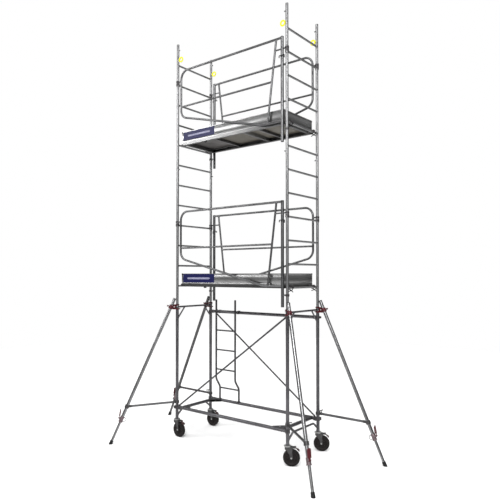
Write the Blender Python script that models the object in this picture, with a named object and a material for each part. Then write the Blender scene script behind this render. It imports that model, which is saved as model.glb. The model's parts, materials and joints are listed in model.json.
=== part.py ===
"""Mobile tower scaffold with two platforms, guardrails, castors and four stabiliser legs.

Metres, +Z up. The long side runs along X and the entry side faces -Y. The origin is on the
floor, in the middle of the floor space that the whole tower covers.
"""

import math

import bmesh
import bpy
from mathutils import Matrix, Vector

# ---- driving dimensions ---------------------------------------------------------------------
BAY_LENGTH = 1.84            # stile centre to stile centre, along X
BAY_WIDTH = 0.68             # stile centre to stile centre, along Y
RUNG_PITCH = 0.28
FIRST_RUNG = 2.065           # height of the rung that carries the lower platform
LOWER_RUNGS = range(0, 4)
MIDDLE_RUNGS = range(4, 11)
TOP_RUNGS = range(11, 12)
BASE_TOP = 1.815
LOWER_TOP = 2.935
MIDDLE_TOP = 4.895
TOWER_TOP = 5.437
PLATFORM_RUNGS = {"lower": 0, "upper": 7}

POST_RADIUS = 0.021          # base posts, bottom frame and rear beam
STILE_RADIUS = 0.0175
RUNG_RADIUS = 0.0125
SPIGOT_RADIUS = 0.0125
SOCKET_RADIUS = 0.0131
SOCKET_DEPTH = 0.11
JOINT_COLLAR = 0.045         # length of the thicker end of a stile
STUD_REACH = 0.034
STUD_RADIUS = 0.006
SPIGOT_LENGTH = 0.10
GAP = 0.0004                 # left between faces that meet

POST_BOTTOM = 0.2404
STEM_BORE = 0.0156           # takes the castor's stem
GUSSET_RADIUS = 0.010
BASE_BAR_HEIGHT = 1.775
BASE_GUSSET_REACH = 0.146
BASE_GUSSET_FOOT = 1.605
LOW_BAR_HEIGHT = 0.365
LOW_BAR_HALF = 0.23
LOW_BAR_FOOT = 0.28
FRAME_HEIGHT = 0.40          # bottom brace frame
CROSS_TUBE_X = 0.83
CORNER_PLATE = 0.14
REAR_BEAM_HEIGHT = 1.68
BRACE_RADIUS = 0.011
BRACE_FOOT_X = 0.87

COLLAR_OUTER = 0.030         # rings that grip a base post or a 42 mm tube
COLLAR_BORE = 0.0231
STILE_COLLAR_OUTER = 0.0258
STILE_COLLAR_BORE = 0.0194

LADDER_X = (-0.732, -0.376)
LADDER_Y = 0.257
LADDER_TOP = 1.86
LADDER_KINK = (0.60, 0.72)
LADDER_FIRST_RUNG = 0.58
LADDER_RUNGS = 5
LADDER_STILE_RADIUS = 0.0135
LADDER_RUNG_RADIUS = 0.0110

DECK_HALF_X = 0.8493
DECK_HALF_Y = 0.3118
DECK_BOTTOM = -0.008         # heights from here on are measured from the carrying rung
DECK_TOP = 0.060
DECK_BEAM = 0.040
PANEL_BOTTOM = 0.041
PANEL_TOP = 0.053
HATCH_X = (-0.800, -0.330)
HATCH_PIVOT_Y = -0.262
HATCH_PIVOT_Z = 0.058
CROSS_BEAMS = (-0.315, 0.20, 0.42)
CLAW_Y = 0.245
CLAW_BORE = 0.0142
TOE_BOARD = 0.006
TOE_BOTTOM = 0.028
TOE_TOP = 0.171

RAIL_RADIUS = 0.0140
RAIL_INNER_RADIUS = 0.0125
RAIL_POST_RADIUS = 0.0190
RAIL_POST_X = 0.851
RAIL_END_X = -0.855
RAIL_TOP = 1.02
RAIL_MIDDLE = 0.52
RAIL_LOW = 0.022
RAIL_POST_BOTTOM = -0.228
RAIL_BEND = 0.12
RAIL_GRIP_TOP = 0.885
RAIL_GRIP_LOW = -0.085

CASTOR_TOP = 0.240
WHEEL_RADIUS = 0.100
WHEEL_TRAIL = 0.045
WHEEL_SIDES = 16
BRAKE_PIVOT = (0.088, -0.021)

LEG_CLAMP_REACH = 0.09       # stabiliser leg axis, out from its post, at the clamp
LEG_CLAMP_HEIGHT = 1.775
LEG_FOOT_REACH = 0.895       # and where it meets the floor
LEG_RADIUS = 0.021
LEG_BORE = 0.0183
LEG_RISE = 0.130
LEG_END = 1.646              # along the leg, down from the clamp
INNER_RADIUS = 0.017
INNER_START = 1.15
FOOT_START = 1.90
FOOT_RADIUS = 0.0235
STRUT_HEIGHT = 0.47
STRUT_RADIUS = 0.015
SLEEVE_RADIUS = 0.0262
SLEEVE_LENGTH = 0.077
LOCK_PIVOT = (0.0375, -1.604)
LOCK_LEAN = 13.0             # degrees, how far the lever stands off the leg
LOCK_LENGTH = 0.122
LOCK_HALF_WIDTH = 0.0215
LEG_SLEEVE_GAP = 0.0017      # between a leg and the rings that hold it

CORNERS = {                  # X side, Y side, castor heading, stabiliser heading (degrees)
    "front_left": (-1, -1, 0.0, -118.6),
    "front_right": (1, -1, 30.0, -39.2),
    "rear_left": (-1, 1, 5.0, 179.0),
    "rear_right": (1, 1, 25.0, 1.0),
}

FINISHES = {                 # colour, roughness, metallic
    "galvanised": ((0.47, 0.48, 0.49, 1.0), 0.45, 0.9),
    "base_steel": ((0.20, 0.20, 0.21, 1.0), 0.50, 0.8),
    "rail_steel": ((0.24, 0.24, 0.25, 1.0), 0.45, 0.8),
    "bright_tube": ((0.62, 0.63, 0.64, 1.0), 0.35, 0.9),
    "deck_aluminium": ((0.55, 0.55, 0.56, 1.0), 0.40, 0.9),
    "deck_panel": ((0.16, 0.12, 0.09, 1.0), 0.75, 0.0),
    "clamp_red": ((0.22, 0.03, 0.04, 1.0), 0.45, 0.1),
    "clip_yellow": ((0.86, 0.66, 0.05, 1.0), 0.45, 0.0),
    "tyre_black": ((0.02, 0.02, 0.02, 1.0), 0.80, 0.0),
}


# ---- mesh helpers ---------------------------------------------------------------------------
def rung_height(number):
    """Height of a rung, counted up from the lower platform's."""
    return FIRST_RUNG + RUNG_PITCH * number


def ring_points(centre, across, up, radius, sides):
    """Corners of a regular polygon with a flat side towards each of its axes."""
    angles = [math.tau * (i + 0.5) / sides for i in range(sides)]
    return [centre + radius * (math.cos(a) * across + math.sin(a) * up) for a in angles]


def frame_across(direction):
    """Two unit vectors square to a direction and to each other."""
    helper = Vector((1, 0, 0)) if abs(direction.z) > 0.7 else Vector((0, 0, 1))
    across = direction.cross(helper).normalized()
    return across, direction.cross(across).normalized()


def solid_mesh(vertices, faces):
    """A closed mesh with its faces pointing out."""
    mesh = bpy.data.meshes.new("shape")
    mesh.from_pydata([tuple(v) for v in vertices], [], faces)
    shell = bmesh.new()
    shell.from_mesh(mesh)
    bmesh.ops.recalc_face_normals(shell, faces=shell.faces)
    shell.to_mesh(mesh)
    shell.free()
    return mesh


def loft(rings, closed=False):
    """Join rings of points with side faces and cap both ends, or close the loop."""
    sides = len(rings[0])
    vertices = [point for ring in rings for point in ring]
    faces = []
    spans = len(rings) if closed else len(rings) - 1
    for i in range(spans):
        low = i * sides
        high = (i + 1) % len(rings) * sides
        for k in range(sides):
            after = (k + 1) % sides
            faces.append((low + k, low + after, high + after, high + k))
    if not closed:
        faces.append(tuple(range(sides)))
        faces.append(tuple(range((len(rings) - 1) * sides, len(rings) * sides)))
    return solid_mesh(vertices, faces)


def tube(points, radius, sides=8):
    """A round bar along a line of points, mitred at each bend."""
    points = [Vector(p) for p in points]
    heading = (points[1] - points[0]).normalized()
    ring = ring_points(points[0], *frame_across(heading), radius, sides)
    rings = [ring]
    for i in range(1, len(points)):
        heading = (points[i] - points[i - 1]).normalized()
        normal = heading
        if i < len(points) - 1:
            normal = (heading + (points[i + 1] - points[i]).normalized()).normalized()
        ring = [p + heading * ((points[i] - p).dot(normal) / heading.dot(normal)) for p in ring]
        rings.append(ring)
    return loft(rings)


def collar(centre, axis, outer, bore, length, sides=8):
    """A ring with a square section around an axis."""
    centre = Vector(centre)
    axis = Vector(axis).normalized()
    across, up = frame_across(axis)
    low = centre - axis * length / 2
    high = centre + axis * length / 2
    rings = [
        ring_points(low, across, up, outer, sides),
        ring_points(high, across, up, outer, sides),
        ring_points(high, across, up, bore, sides),
        ring_points(low, across, up, bore, sides),
    ]
    return loft(rings, closed=True)


def saddle(centre, outer, bore, length, start, stop, steps=7):
    """Part of a ring around a line along X. Angles run from +Y towards +Z, in degrees."""
    section = []
    for radius, order in ((outer, range(steps + 1)), (bore, range(steps, -1, -1))):
        for i in order:
            angle = math.radians(start + (stop - start) * i / steps)
            section.append((radius * math.cos(angle), radius * math.sin(angle)))
    ends = (centre[0] - length / 2, centre[0] + length / 2)
    return loft([[Vector((x, centre[1] + y, centre[2] + z)) for y, z in section] for x in ends])


def box(low, high):
    """A box from its lowest corner to its highest."""
    corners = ((low[0], low[1]), (high[0], low[1]), (high[0], high[1]), (low[0], high[1]))
    return loft([[Vector((x, y, z)) for x, y in corners] for z in (low[2], high[2])])


def side_plate(outline, y_low, y_high):
    """A flat plate with an outline in the X-Z plane."""
    return loft([[Vector((x, y, z)) for x, z in outline] for y in (y_low, y_high)])


def floor_plate(outline, z_low, z_high):
    """A flat plate with an outline in the X-Y plane."""
    return loft([[Vector((x, y, z)) for x, y in outline] for z in (z_low, z_high)])


def arc(centre, radius, start, stop, steps):
    """Points of an arc in the X-Z plane, in degrees from +X towards +Z."""
    angles = [math.radians(start + (stop - start) * i / steps) for i in range(steps + 1)]
    return [(centre[0] + radius * math.cos(a), centre[1] + radius * math.sin(a)) for a in angles]


def shaped(added, cut=()):
    """One solid: the union of the added shapes, less the cut shapes."""
    base = bpy.data.objects.new("base", added[0])
    bpy.context.scene.collection.objects.link(base)
    helpers = [base]
    steps = [("UNION", mesh) for mesh in added[1:]] + [("DIFFERENCE", mesh) for mesh in cut]
    for operation, mesh in steps:
        helper = bpy.data.objects.new("helper", mesh)
        bpy.context.scene.collection.objects.link(helper)
        helper.hide_render = True
        helper.display_type = "WIRE"
        helpers.append(helper)
        step = base.modifiers.new(operation, "BOOLEAN")
        step.operation = operation
        step.solver = "EXACT"
        step.object = helper
    graph = bpy.context.evaluated_depsgraph_get()
    result = bpy.data.meshes.new_from_object(base.evaluated_get(graph))
    for helper in helpers:
        bpy.data.objects.remove(helper)
    tidy = bmesh.new()
    tidy.from_mesh(result)
    bmesh.ops.dissolve_degenerate(tidy, dist=1e-6, edges=tidy.edges)
    tidy.to_mesh(result)
    tidy.free()
    return result


def moved(mesh, matrix):
    """A mesh's copy, moved by a matrix."""
    copy = mesh.copy()
    copy.transform(matrix)
    return copy


def finish_material(name):
    """The named finish as a Principled material, made once."""
    found = bpy.data.materials.get(name)
    if found:
        return found
    colour, roughness, metallic = FINISHES[name]
    made = bpy.data.materials.new(name)
    made.use_nodes = True
    shader = made.node_tree.nodes["Principled BSDF"]
    shader.inputs["Base Color"].default_value = colour
    shader.inputs["Roughness"].default_value = roughness
    shader.inputs["Metallic"].default_value = metallic
    made.diffuse_color = colour
    return made


def place(name, mesh, finish, parent, location=(0, 0, 0), rotation=(0, 0, 0)):
    """Add a named sub-part under a parent, with its finish and smooth round sides."""
    if not mesh.materials:
        mesh.materials.append(finish_material(finish))
        mesh.shade_smooth()
        mesh.set_sharp_from_angle(angle=math.radians(35))
    made = bpy.data.objects.new(name, mesh)
    bpy.context.scene.collection.objects.link(made)
    made.parent = parent
    made.location = location
    made.rotation_euler = rotation
    return made


def pivot(name, parent, location, rotation=(0, 0, 0)):
    """An empty that carries what stands at one place or turns on one axis."""
    made = bpy.data.objects.new(name, None)
    bpy.context.scene.collection.objects.link(made)
    made.parent = parent
    made.location = location
    made.rotation_euler = rotation
    return made


def corner_xy(corner):
    """Where a corner's stile stands."""
    side_x, side_y = CORNERS[corner][:2]
    return side_x * BAY_LENGTH / 2, side_y * BAY_WIDTH / 2


# ---- frames ---------------------------------------------------------------------------------
def ladder_frame(bottom, top, rungs, studs, socket):
    """One end frame: two stiles, their rungs, lower spigots, collars and studs."""
    half = BAY_WIDTH / 2
    added = []
    cut = []
    for y in (-half, half):
        added.append(tube([(0, y, bottom), (0, y, top)], STILE_RADIUS))
        added.append(tube([(0, y, bottom - SPIGOT_LENGTH), (0, y, bottom + 0.03)], SPIGOT_RADIUS))
        if socket:
            added.append(tube([(0, y, top - JOINT_COLLAR), (0, y, top)], POST_RADIUS))
            cut.append(tube([(0, y, top - SOCKET_DEPTH), (0, y, top + 0.05)], SOCKET_RADIUS))
        for z in studs:
            added.append(tube([(0, y, z), (-STUD_REACH, y, z)], STUD_RADIUS, 6))
    for number in rungs:
        z = rung_height(number)
        added.append(tube([(0, -half, z), (0, half, z)], RUNG_RADIUS, 6))
    return shaped(added, cut)


def base_frame():
    """One end of the base: two posts, a top bar with gussets and a low bar with bent ends."""
    half = BAY_WIDTH / 2
    added = []
    cut = []
    for y in (-half, half):
        side = math.copysign(1, y)
        added.append(tube([(0, y, POST_BOTTOM), (0, y, BASE_TOP)], POST_RADIUS))
        cut.append(tube([(0, y, BASE_TOP - SOCKET_DEPTH), (0, y, BASE_TOP + 0.05)], SOCKET_RADIUS))
        cut.append(tube([(0, y, POST_BOTTOM - 0.05), (0, y, POST_BOTTOM + 0.10)], STEM_BORE))
        gusset_y = y - side * BASE_GUSSET_REACH
        added.append(tube([(0, gusset_y, BASE_BAR_HEIGHT), (0, y, BASE_GUSSET_FOOT)], GUSSET_RADIUS, 6))
    added.append(tube([(0, -half, BASE_BAR_HEIGHT), (0, half, BASE_BAR_HEIGHT)], RUNG_RADIUS))
    low_bar = [(0, -half, LOW_BAR_FOOT), (0, -LOW_BAR_HALF, LOW_BAR_HEIGHT)]
    low_bar += [(0, LOW_BAR_HALF, LOW_BAR_HEIGHT), (0, half, LOW_BAR_FOOT)]
    added.append(tube(low_bar, RUNG_RADIUS, 6))
    return shaped(added, cut)


def bottom_brace_frame():
    """The level frame that ties the four posts: two long tubes, two cross tubes, corner plates."""
    half_x = BAY_LENGTH / 2
    half_y = BAY_WIDTH / 2
    added = []
    for y in (-half_y, half_y):
        reach = half_x - 0.025
        added.append(tube([(-reach, y, FRAME_HEIGHT), (reach, y, FRAME_HEIGHT)], POST_RADIUS))
    for x in (-CROSS_TUBE_X, CROSS_TUBE_X):
        added.append(tube([(x, -half_y, FRAME_HEIGHT), (x, half_y, FRAME_HEIGHT)], POST_RADIUS))
    for side_x, side_y in ((-1, -1), (1, -1), (1, 1), (-1, 1)):
        x, y = side_x * CROSS_TUBE_X, side_y * half_y
        outline = [(x, y), (x - side_x * CORNER_PLATE, y), (x, y - side_y * CORNER_PLATE)]
        added.append(floor_plate(outline, FRAME_HEIGHT - 0.003, FRAME_HEIGHT + 0.003))
        centre = (side_x * half_x, y, FRAME_HEIGHT)
        added.append(collar(centre, (0, 0, 1), COLLAR_OUTER, COLLAR_BORE, 0.044))
    return shaped(added)


def rear_beam():
    """The tube between the two rear posts, with a claw around each."""
    half_x = BAY_LENGTH / 2
    y = BAY_WIDTH / 2
    reach = half_x - 0.025
    added = [tube([(-reach, y, REAR_BEAM_HEIGHT), (reach, y, REAR_BEAM_HEIGHT)], POST_RADIUS)]
    for x in (-half_x, half_x):
        centre = (x, y, REAR_BEAM_HEIGHT)
        added.append(collar(centre, (0, 0, 1), COLLAR_OUTER, COLLAR_BORE, 0.030))
    return shaped(added)


def brace_end(centre, toward, slope):
    """Where a diagonal tube ends so that its edge just meets the ring around a centre."""
    square = Vector((-slope.z, 0, slope.x))
    if square.dot(toward) < 0:
        square.negate()
    return centre - toward * (COLLAR_BORE + 0.0012) - square * BRACE_RADIUS


def brace(head, foot, head_axis):
    """A diagonal tube with a gripping ring at each end."""
    head = Vector(head)
    foot = Vector(foot)
    slope = (foot - head).normalized()
    toward = Vector((0, 0, 1))
    if head_axis == (0, 0, 1):
        toward = Vector((math.copysign(1, -slope.x), 0, 0))
    start = brace_end(head, toward, slope)
    end = brace_end(foot, Vector((0, 0, -1)), slope)
    return shaped([
        tube([start, end], BRACE_RADIUS),
        collar(head, head_axis, COLLAR_OUTER, COLLAR_BORE, 0.022),
        collar(foot, (1, 0, 0), COLLAR_OUTER, COLLAR_BORE, 0.022),
    ])


def access_ladder():
    """The climbing ladder that stands on the rear long tube and hangs on the rear beam."""
    tube_y = BAY_WIDTH / 2
    added = []
    for x in LADDER_X:
        stile = [(x, tube_y, FRAME_HEIGHT + 0.024), (x, tube_y, LADDER_KINK[0])]
        stile += [(x, LADDER_Y, LADDER_KINK[1]), (x, LADDER_Y, LADDER_TOP)]
        added.append(tube(stile, LADDER_STILE_RADIUS, 6))
        foot = (x, tube_y, FRAME_HEIGHT)
        added.append(saddle(foot, COLLAR_OUTER, COLLAR_BORE, 0.030, -60, 150))
        grip = (x, tube_y, REAR_BEAM_HEIGHT)
        added.append(saddle(grip, COLLAR_OUTER, COLLAR_BORE, 0.030, 30, 230))
        arm = [(x, LADDER_Y, REAR_BEAM_HEIGHT), (x, tube_y - 0.026, REAR_BEAM_HEIGHT)]
        added.append(tube(arm, 0.010, 6))
    for number in range(LADDER_RUNGS):
        z = LADDER_FIRST_RUNG + RUNG_PITCH * number
        y = tube_y if z < LADDER_KINK[0] else LADDER_Y
        added.append(tube([(LADDER_X[0], y, z), (LADDER_X[1], y, z)], LADDER_RUNG_RADIUS, 6))
    return shaped(added)


# ---- platforms ------------------------------------------------------------------------------
def platform_deck():
    """Deck frame with its fixed panel, four claws over the rungs and the hatch's hinge pins."""
    beam = DECK_BEAM
    z_low, z_high = DECK_BOTTOM, DECK_TOP
    added = []
    for side in (-1, 1):
        y = sorted((side * DECK_HALF_Y, side * (DECK_HALF_Y - beam)))
        added.append(box((-DECK_HALF_X, y[0], z_low), (DECK_HALF_X, y[1], z_high)))
        x = sorted((side * DECK_HALF_X, side * (DECK_HALF_X - beam)))
        added.append(box((x[0], -DECK_HALF_Y + 0.01, z_low + 0.002),
                         (x[1], DECK_HALF_Y - 0.01, z_high - 0.002)))
    inner_y = DECK_HALF_Y - beam / 2
    for x in CROSS_BEAMS:
        added.append(box((x - 0.015, -inner_y, z_low + 0.004), (x + 0.015, inner_y, 0.046)))
    added.append(box((CROSS_BEAMS[0], -inner_y, PANEL_BOTTOM),
                     (DECK_HALF_X - beam / 2, inner_y, PANEL_TOP)))
    added.append(box((-DECK_HALF_X + 0.02, 0.2640, 0.028), (CROSS_BEAMS[0], inner_y, 0.0406)))
    cut = []
    for side in (-1, 1):
        rung_x = side * BAY_LENGTH / 2
        for y in (-CLAW_Y, CLAW_Y):
            outline = [(DECK_HALF_X - 0.02, -0.006), (0.945, -0.006), (0.945, 0.022),
                       (0.935, 0.030), (0.900, 0.030), (0.885, 0.022), (DECK_HALF_X - 0.02, 0.022)]
            outline = [(side * x, z) for x, z in outline]
            added.append(side_plate(outline, y - 0.010, y + 0.010))
        cut.append(tube([(rung_x, -0.3, 0), (rung_x, 0.3, 0)], CLAW_BORE))
        cut.append(box((rung_x - 0.0131, -0.3, -0.03), (rung_x + 0.0131, 0.3, 0)))
    for x in hinge_places():
        pin = [(x - 0.042, HATCH_PIVOT_Y, HATCH_PIVOT_Z), (x + 0.042, HATCH_PIVOT_Y, HATCH_PIVOT_Z)]
        added.append(tube(pin, 0.003, 6))
        for end in (-0.038, 0.038):
            added.append(box((x + end - 0.005, -0.285, HATCH_PIVOT_Z - 0.003),
                             (x + end + 0.005, HATCH_PIVOT_Y + 0.0035, HATCH_PIVOT_Z + 0.008)))
    return shaped(added, cut)


def hinge_places():
    """Where the hatch's two hinges stand along X."""
    return [HATCH_X[0] + 0.10, HATCH_X[1] - 0.10]


def platform_hatch():
    """The trapdoor, made about its hinge axis."""
    low = (HATCH_X[0], -0.2685 - HATCH_PIVOT_Y, PANEL_BOTTOM - HATCH_PIVOT_Z)
    high = (HATCH_X[1] - 0.003, 0.2685 - HATCH_PIVOT_Y, PANEL_TOP - HATCH_PIVOT_Z)
    added = [box(low, high)]
    cut = []
    for x in hinge_places():
        added.append(box((x - 0.031, -0.0055, -0.010), (x + 0.031, 0.0055, 0)))
        added.append(tube([(x - 0.031, 0, 0), (x + 0.031, 0, 0)], 0.0074))
        cut.append(tube([(x - 0.05, 0, 0), (x + 0.05, 0, 0)], 0.0040, 6))
    middle = (HATCH_X[0] + HATCH_X[1]) / 2
    grip = [(middle - 0.05, 0.46, high[2] - 0.006), (middle - 0.05, 0.46, high[2] + 0.007)]
    grip += [(middle + 0.05, 0.46, high[2] + 0.007), (middle + 0.05, 0.46, high[2] - 0.006)]
    added.append(tube(grip, 0.004, 6))
    return shaped(added, cut)


def toe_boards():
    """Four thin boards in one ring, standing around the deck."""
    inner_x, inner_y = DECK_HALF_X + GAP, DECK_HALF_Y + GAP
    outer = box((-inner_x - TOE_BOARD, -inner_y - TOE_BOARD, TOE_BOTTOM),
                (inner_x + TOE_BOARD, inner_y + TOE_BOARD, TOE_TOP))
    hollow = box((-inner_x, -inner_y, TOE_BOTTOM - 0.05), (inner_x, inner_y, TOE_TOP + 0.05))
    return shaped([outer], [hollow])


# ---- guardrails -----------------------------------------------------------------------------
def guardrail():
    """One side rail: a bent outer tube, a middle rail, a brace, a hanging post and its grips."""
    bend = RAIL_BEND
    top_corner = (RAIL_END_X + bend, RAIL_TOP - bend)
    outline = [(RAIL_POST_X, RAIL_TOP)]
    outline += arc(top_corner, bend, 90, 180, 3)
    low_corner = (RAIL_END_X + bend, 0.472)
    outline += arc(low_corner, bend, 180, 256, 2)
    outline += [(0.53, 0.036), (0.60, RAIL_LOW), (RAIL_POST_X, RAIL_LOW)]
    added = [tube([(x, 0, z) for x, z in outline], RAIL_RADIUS)]
    added.append(tube([(RAIL_END_X, 0, RAIL_MIDDLE), (0.70, 0, RAIL_MIDDLE)], RAIL_INNER_RADIUS, 6))
    added.append(tube([(0.764, 0, RAIL_TOP), (0.635, 0, RAIL_LOW)], RAIL_INNER_RADIUS, 6))
    added.append(tube([(RAIL_POST_X, 0, RAIL_POST_BOTTOM), (RAIL_POST_X, 0, RAIL_TOP + 0.015)],
                      RAIL_POST_RADIUS))
    stile_x = BAY_LENGTH / 2
    grips = ((RAIL_POST_X - 0.10, stile_x, RAIL_GRIP_TOP), (RAIL_POST_X, stile_x, RAIL_GRIP_LOW),
             (RAIL_END_X, -stile_x, RAIL_GRIP_TOP))
    for start, stile, z in grips:
        reach = stile - math.copysign(0.021, stile)
        added.append(tube([(start, 0, z), (reach, 0, z)], 0.0095, 6))
        added.append(collar((stile, 0, z), (0, 0, 1), STILE_COLLAR_OUTER, STILE_COLLAR_BORE, 0.024))
    return shaped(added)


def frame_clip():
    """The round spring clip that stands beside a stile near the top."""
    ring = collar((0, 0, 0), (0, 1, 0), 0.036, 0.025, 0.009, 12)
    return shaped([ring, tube([(0.030, 0, 0), (0.0425, 0, 0)], 0.0055, 6)])


# ---- castors --------------------------------------------------------------------------------
def castor_fork():
    """Bearing housing, stem, yoke, axle and brake ears. Its origin is the top, on the swivel."""
    trail, drop = WHEEL_TRAIL, -(CASTOR_TOP - WHEEL_RADIUS)
    leg = [(-0.034, -0.014), (0.062, -0.014), (0.062, -0.034), (trail + 0.018, drop)]
    leg += arc((trail, drop), 0.018, -45, -135, 1)
    leg += [(trail - 0.018, drop), (-0.034, -0.042)]
    pivot_x, pivot_z = BRAKE_PIVOT
    added = [
        tube([(0, 0, -0.018), (0, 0, 0)], 0.044),
        tube([(0, 0, -0.010), (0, 0, 0.085)], 0.0140),
        box((-0.033, -0.031, -0.031), (0.061, 0.031, -0.013)),
        side_plate(leg, 0.0285, 0.0330),
        side_plate(leg, -0.0330, -0.0285),
        tube([(trail, -0.039, drop), (trail, 0.039, drop)], 0.0060),
        tube([(trail, -0.042, drop), (trail, -0.031, drop)], 0.0110, 6),
        tube([(trail, 0.031, drop), (trail, 0.042, drop)], 0.0110, 6),
        box((0.050, 0.0175, -0.030), (pivot_x + 0.009, 0.0220, -0.0135)),
        box((0.050, -0.0220, -0.030), (pivot_x + 0.009, -0.0175, -0.0135)),
        tube([(pivot_x, -0.0205, pivot_z), (pivot_x, 0.0205, pivot_z)], 0.0038, 6),
    ]
    return shaped(added)


def castor_wheel():
    """Tyre, web and hub as one turned solid. Its origin is the axle."""
    rim = WHEEL_RADIUS / math.cos(math.pi / WHEEL_SIDES)
    profile = [(0.0070, -0.026), (0.022, -0.026), (0.030, -0.012), (0.066, -0.012)]
    profile += [(0.074, -0.023), (rim, -0.016)]
    profile += [(radius, -y) for radius, y in reversed(profile)]
    rings = []
    for radius, y in profile:
        corner = [math.tau * (i + 0.5) / WHEEL_SIDES - math.pi / 2 for i in range(WHEEL_SIDES)]
        rings.append([Vector((radius * math.cos(a), y, radius * math.sin(a))) for a in corner])
    return loft(rings, closed=True)


def castor_brake():
    """The brake pedal, made about its pivot."""
    arm = [(-0.0018, -0.0024), (0.0415, -0.0362), (0.0452, -0.0315), (0.0018, 0.0024)]
    pad = [(0.0199, -0.0200), (0.0388, -0.0348), (0.0435, -0.0420), (0.0485, -0.0420),
           (0.0501, -0.0335), (0.0249, -0.0137)]
    added = [
        tube([(0, -0.0160, 0), (0, 0.0160, 0)], 0.0088),
        side_plate(arm, -0.0130, 0.0130),
        side_plate(pad, -0.0230, 0.0230),
    ]
    return shaped(added, [tube([(0, -0.03, 0), (0, 0.03, 0)], 0.0049, 6)])


# ---- stabilisers ----------------------------------------------------------------------------
def leg_matrix():
    """From the leg's own frame, Z up along the leg from the clamp, to its post's frame."""
    tilt = math.atan2(LEG_FOOT_REACH - LEG_CLAMP_REACH, LEG_CLAMP_HEIGHT)
    lean = Matrix.Rotation(-tilt, 4, "Y")
    return Matrix.Translation((LEG_CLAMP_REACH, 0, LEG_CLAMP_HEIGHT)) @ lean


def stabiliser_leg():
    """The outer tube, bored for the inner leg, with its lock sleeve and lever ears."""
    pivot_x, pivot_z = LOCK_PIVOT
    added = [
        tube([(0, 0, -LEG_END + 0.02), (0, 0, LEG_RISE)], LEG_RADIUS),
        tube([(0, 0, -LEG_END), (0, 0, -LEG_END + SLEEVE_LENGTH)], SLEEVE_RADIUS),
        tube([(0, 0, -LEG_END), (0, 0, -LEG_END + 0.010)], COLLAR_OUTER),
        box((0.019, 0.0120, pivot_z - 0.011), (pivot_x + 0.007, 0.0160, pivot_z + 0.011)),
        box((0.019, -0.0160, pivot_z - 0.011), (pivot_x + 0.007, -0.0120, pivot_z + 0.011)),
        tube([(pivot_x, -0.014, pivot_z), (pivot_x, 0.014, pivot_z)], 0.0030, 6),
    ]
    bore = tube([(0, 0, -LEG_END - 0.05), (0, 0, -0.86)], LEG_BORE)
    return shaped(added, [bore])


def stabiliser_foot():
    """The telescopic inner leg and its rubber foot, cut level with the floor."""
    added = [
        tube([(0, 0, -FOOT_START - 0.02), (0, 0, -INNER_START)], INNER_RADIUS),
        tube([(0, 0, -FOOT_START - 0.09), (0, 0, -FOOT_START)], FOOT_RADIUS),
    ]
    below = moved(box((0.5, -0.3, -0.4), (1.3, 0.3, 0)), leg_matrix().inverted())
    return shaped(added, [below])


def leg_sleeve(along, length):
    """A ring around the leg, and the space the leg needs, in the post's frame."""
    ring = collar((0, 0, -along), (0, 0, 1), COLLAR_OUTER, LEG_RADIUS + LEG_SLEEVE_GAP, length)
    space = tube([(0, 0, -along - 0.1), (0, 0, -along + 0.1)], LEG_RADIUS + LEG_SLEEVE_GAP)
    return moved(ring, leg_matrix()), moved(space, leg_matrix())


def stabiliser_clamp():
    """The swivel clamp: two rings on the post, a web and the leg's sleeve with its knob."""
    ring, space = leg_sleeve(0, 0.05)
    knob_root = LEG_CLAMP_REACH + 0.025
    added = [
        ring,
        collar((0, 0, 1.749), (0, 0, 1), COLLAR_OUTER, COLLAR_BORE, 0.018),
        collar((0, 0, 1.804), (0, 0, 1), COLLAR_OUTER, COLLAR_BORE, 0.014),
        box((0.0245, -0.006, 1.742), (0.078, 0.006, 1.8095)),
        tube([(knob_root, 0, 1.785), (knob_root + 0.03, 0, 1.797)], 0.0110, 6),
    ]
    return shaped(added, [space])


def stabiliser_strut():
    """The level strut: a ring on the post, a tube, the leg's sleeve and a T handle."""
    slope = (LEG_FOOT_REACH - LEG_CLAMP_REACH) / LEG_CLAMP_HEIGHT
    end_x = LEG_CLAMP_REACH + slope * (LEG_CLAMP_HEIGHT - STRUT_HEIGHT)
    along = math.hypot(end_x - LEG_CLAMP_REACH, LEG_CLAMP_HEIGHT - STRUT_HEIGHT)
    ring, space = leg_sleeve(along, 0.042)
    z = STRUT_HEIGHT
    added = [
        ring,
        tube([(0.026, 0, z), (end_x - 0.025, 0, z)], STRUT_RADIUS),
        collar((0, 0, z), (0, 0, 1), COLLAR_OUTER, COLLAR_BORE, 0.036),
        tube([(0.048, 0, z), (0.048, 0, z + 0.042)], 0.0060, 6),
        tube([(0.048, -0.032, z + 0.042), (0.048, 0.032, z + 0.042)], 0.0060, 6),
    ]
    return shaped(added, [space])


def stabiliser_lock():
    """The lock lever, made about its pivot and standing a little off the leg."""
    lean = Matrix.Rotation(math.radians(LOCK_LEAN), 4, "Y")
    added = [
        tube([(0, -0.0112, 0), (0, 0.0112, 0)], 0.0080),
        moved(box((-0.0035, -0.0105, 0), (0.0035, 0.0105, 0.030)), lean),
        moved(box((-0.0040, -LOCK_HALF_WIDTH, 0.020),
                  (0.0040, LOCK_HALF_WIDTH, LOCK_LENGTH)), lean),
    ]
    return shaped(added, [tube([(0, -0.03, 0), (0, 0.03, 0)], 0.0040, 6)])


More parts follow.
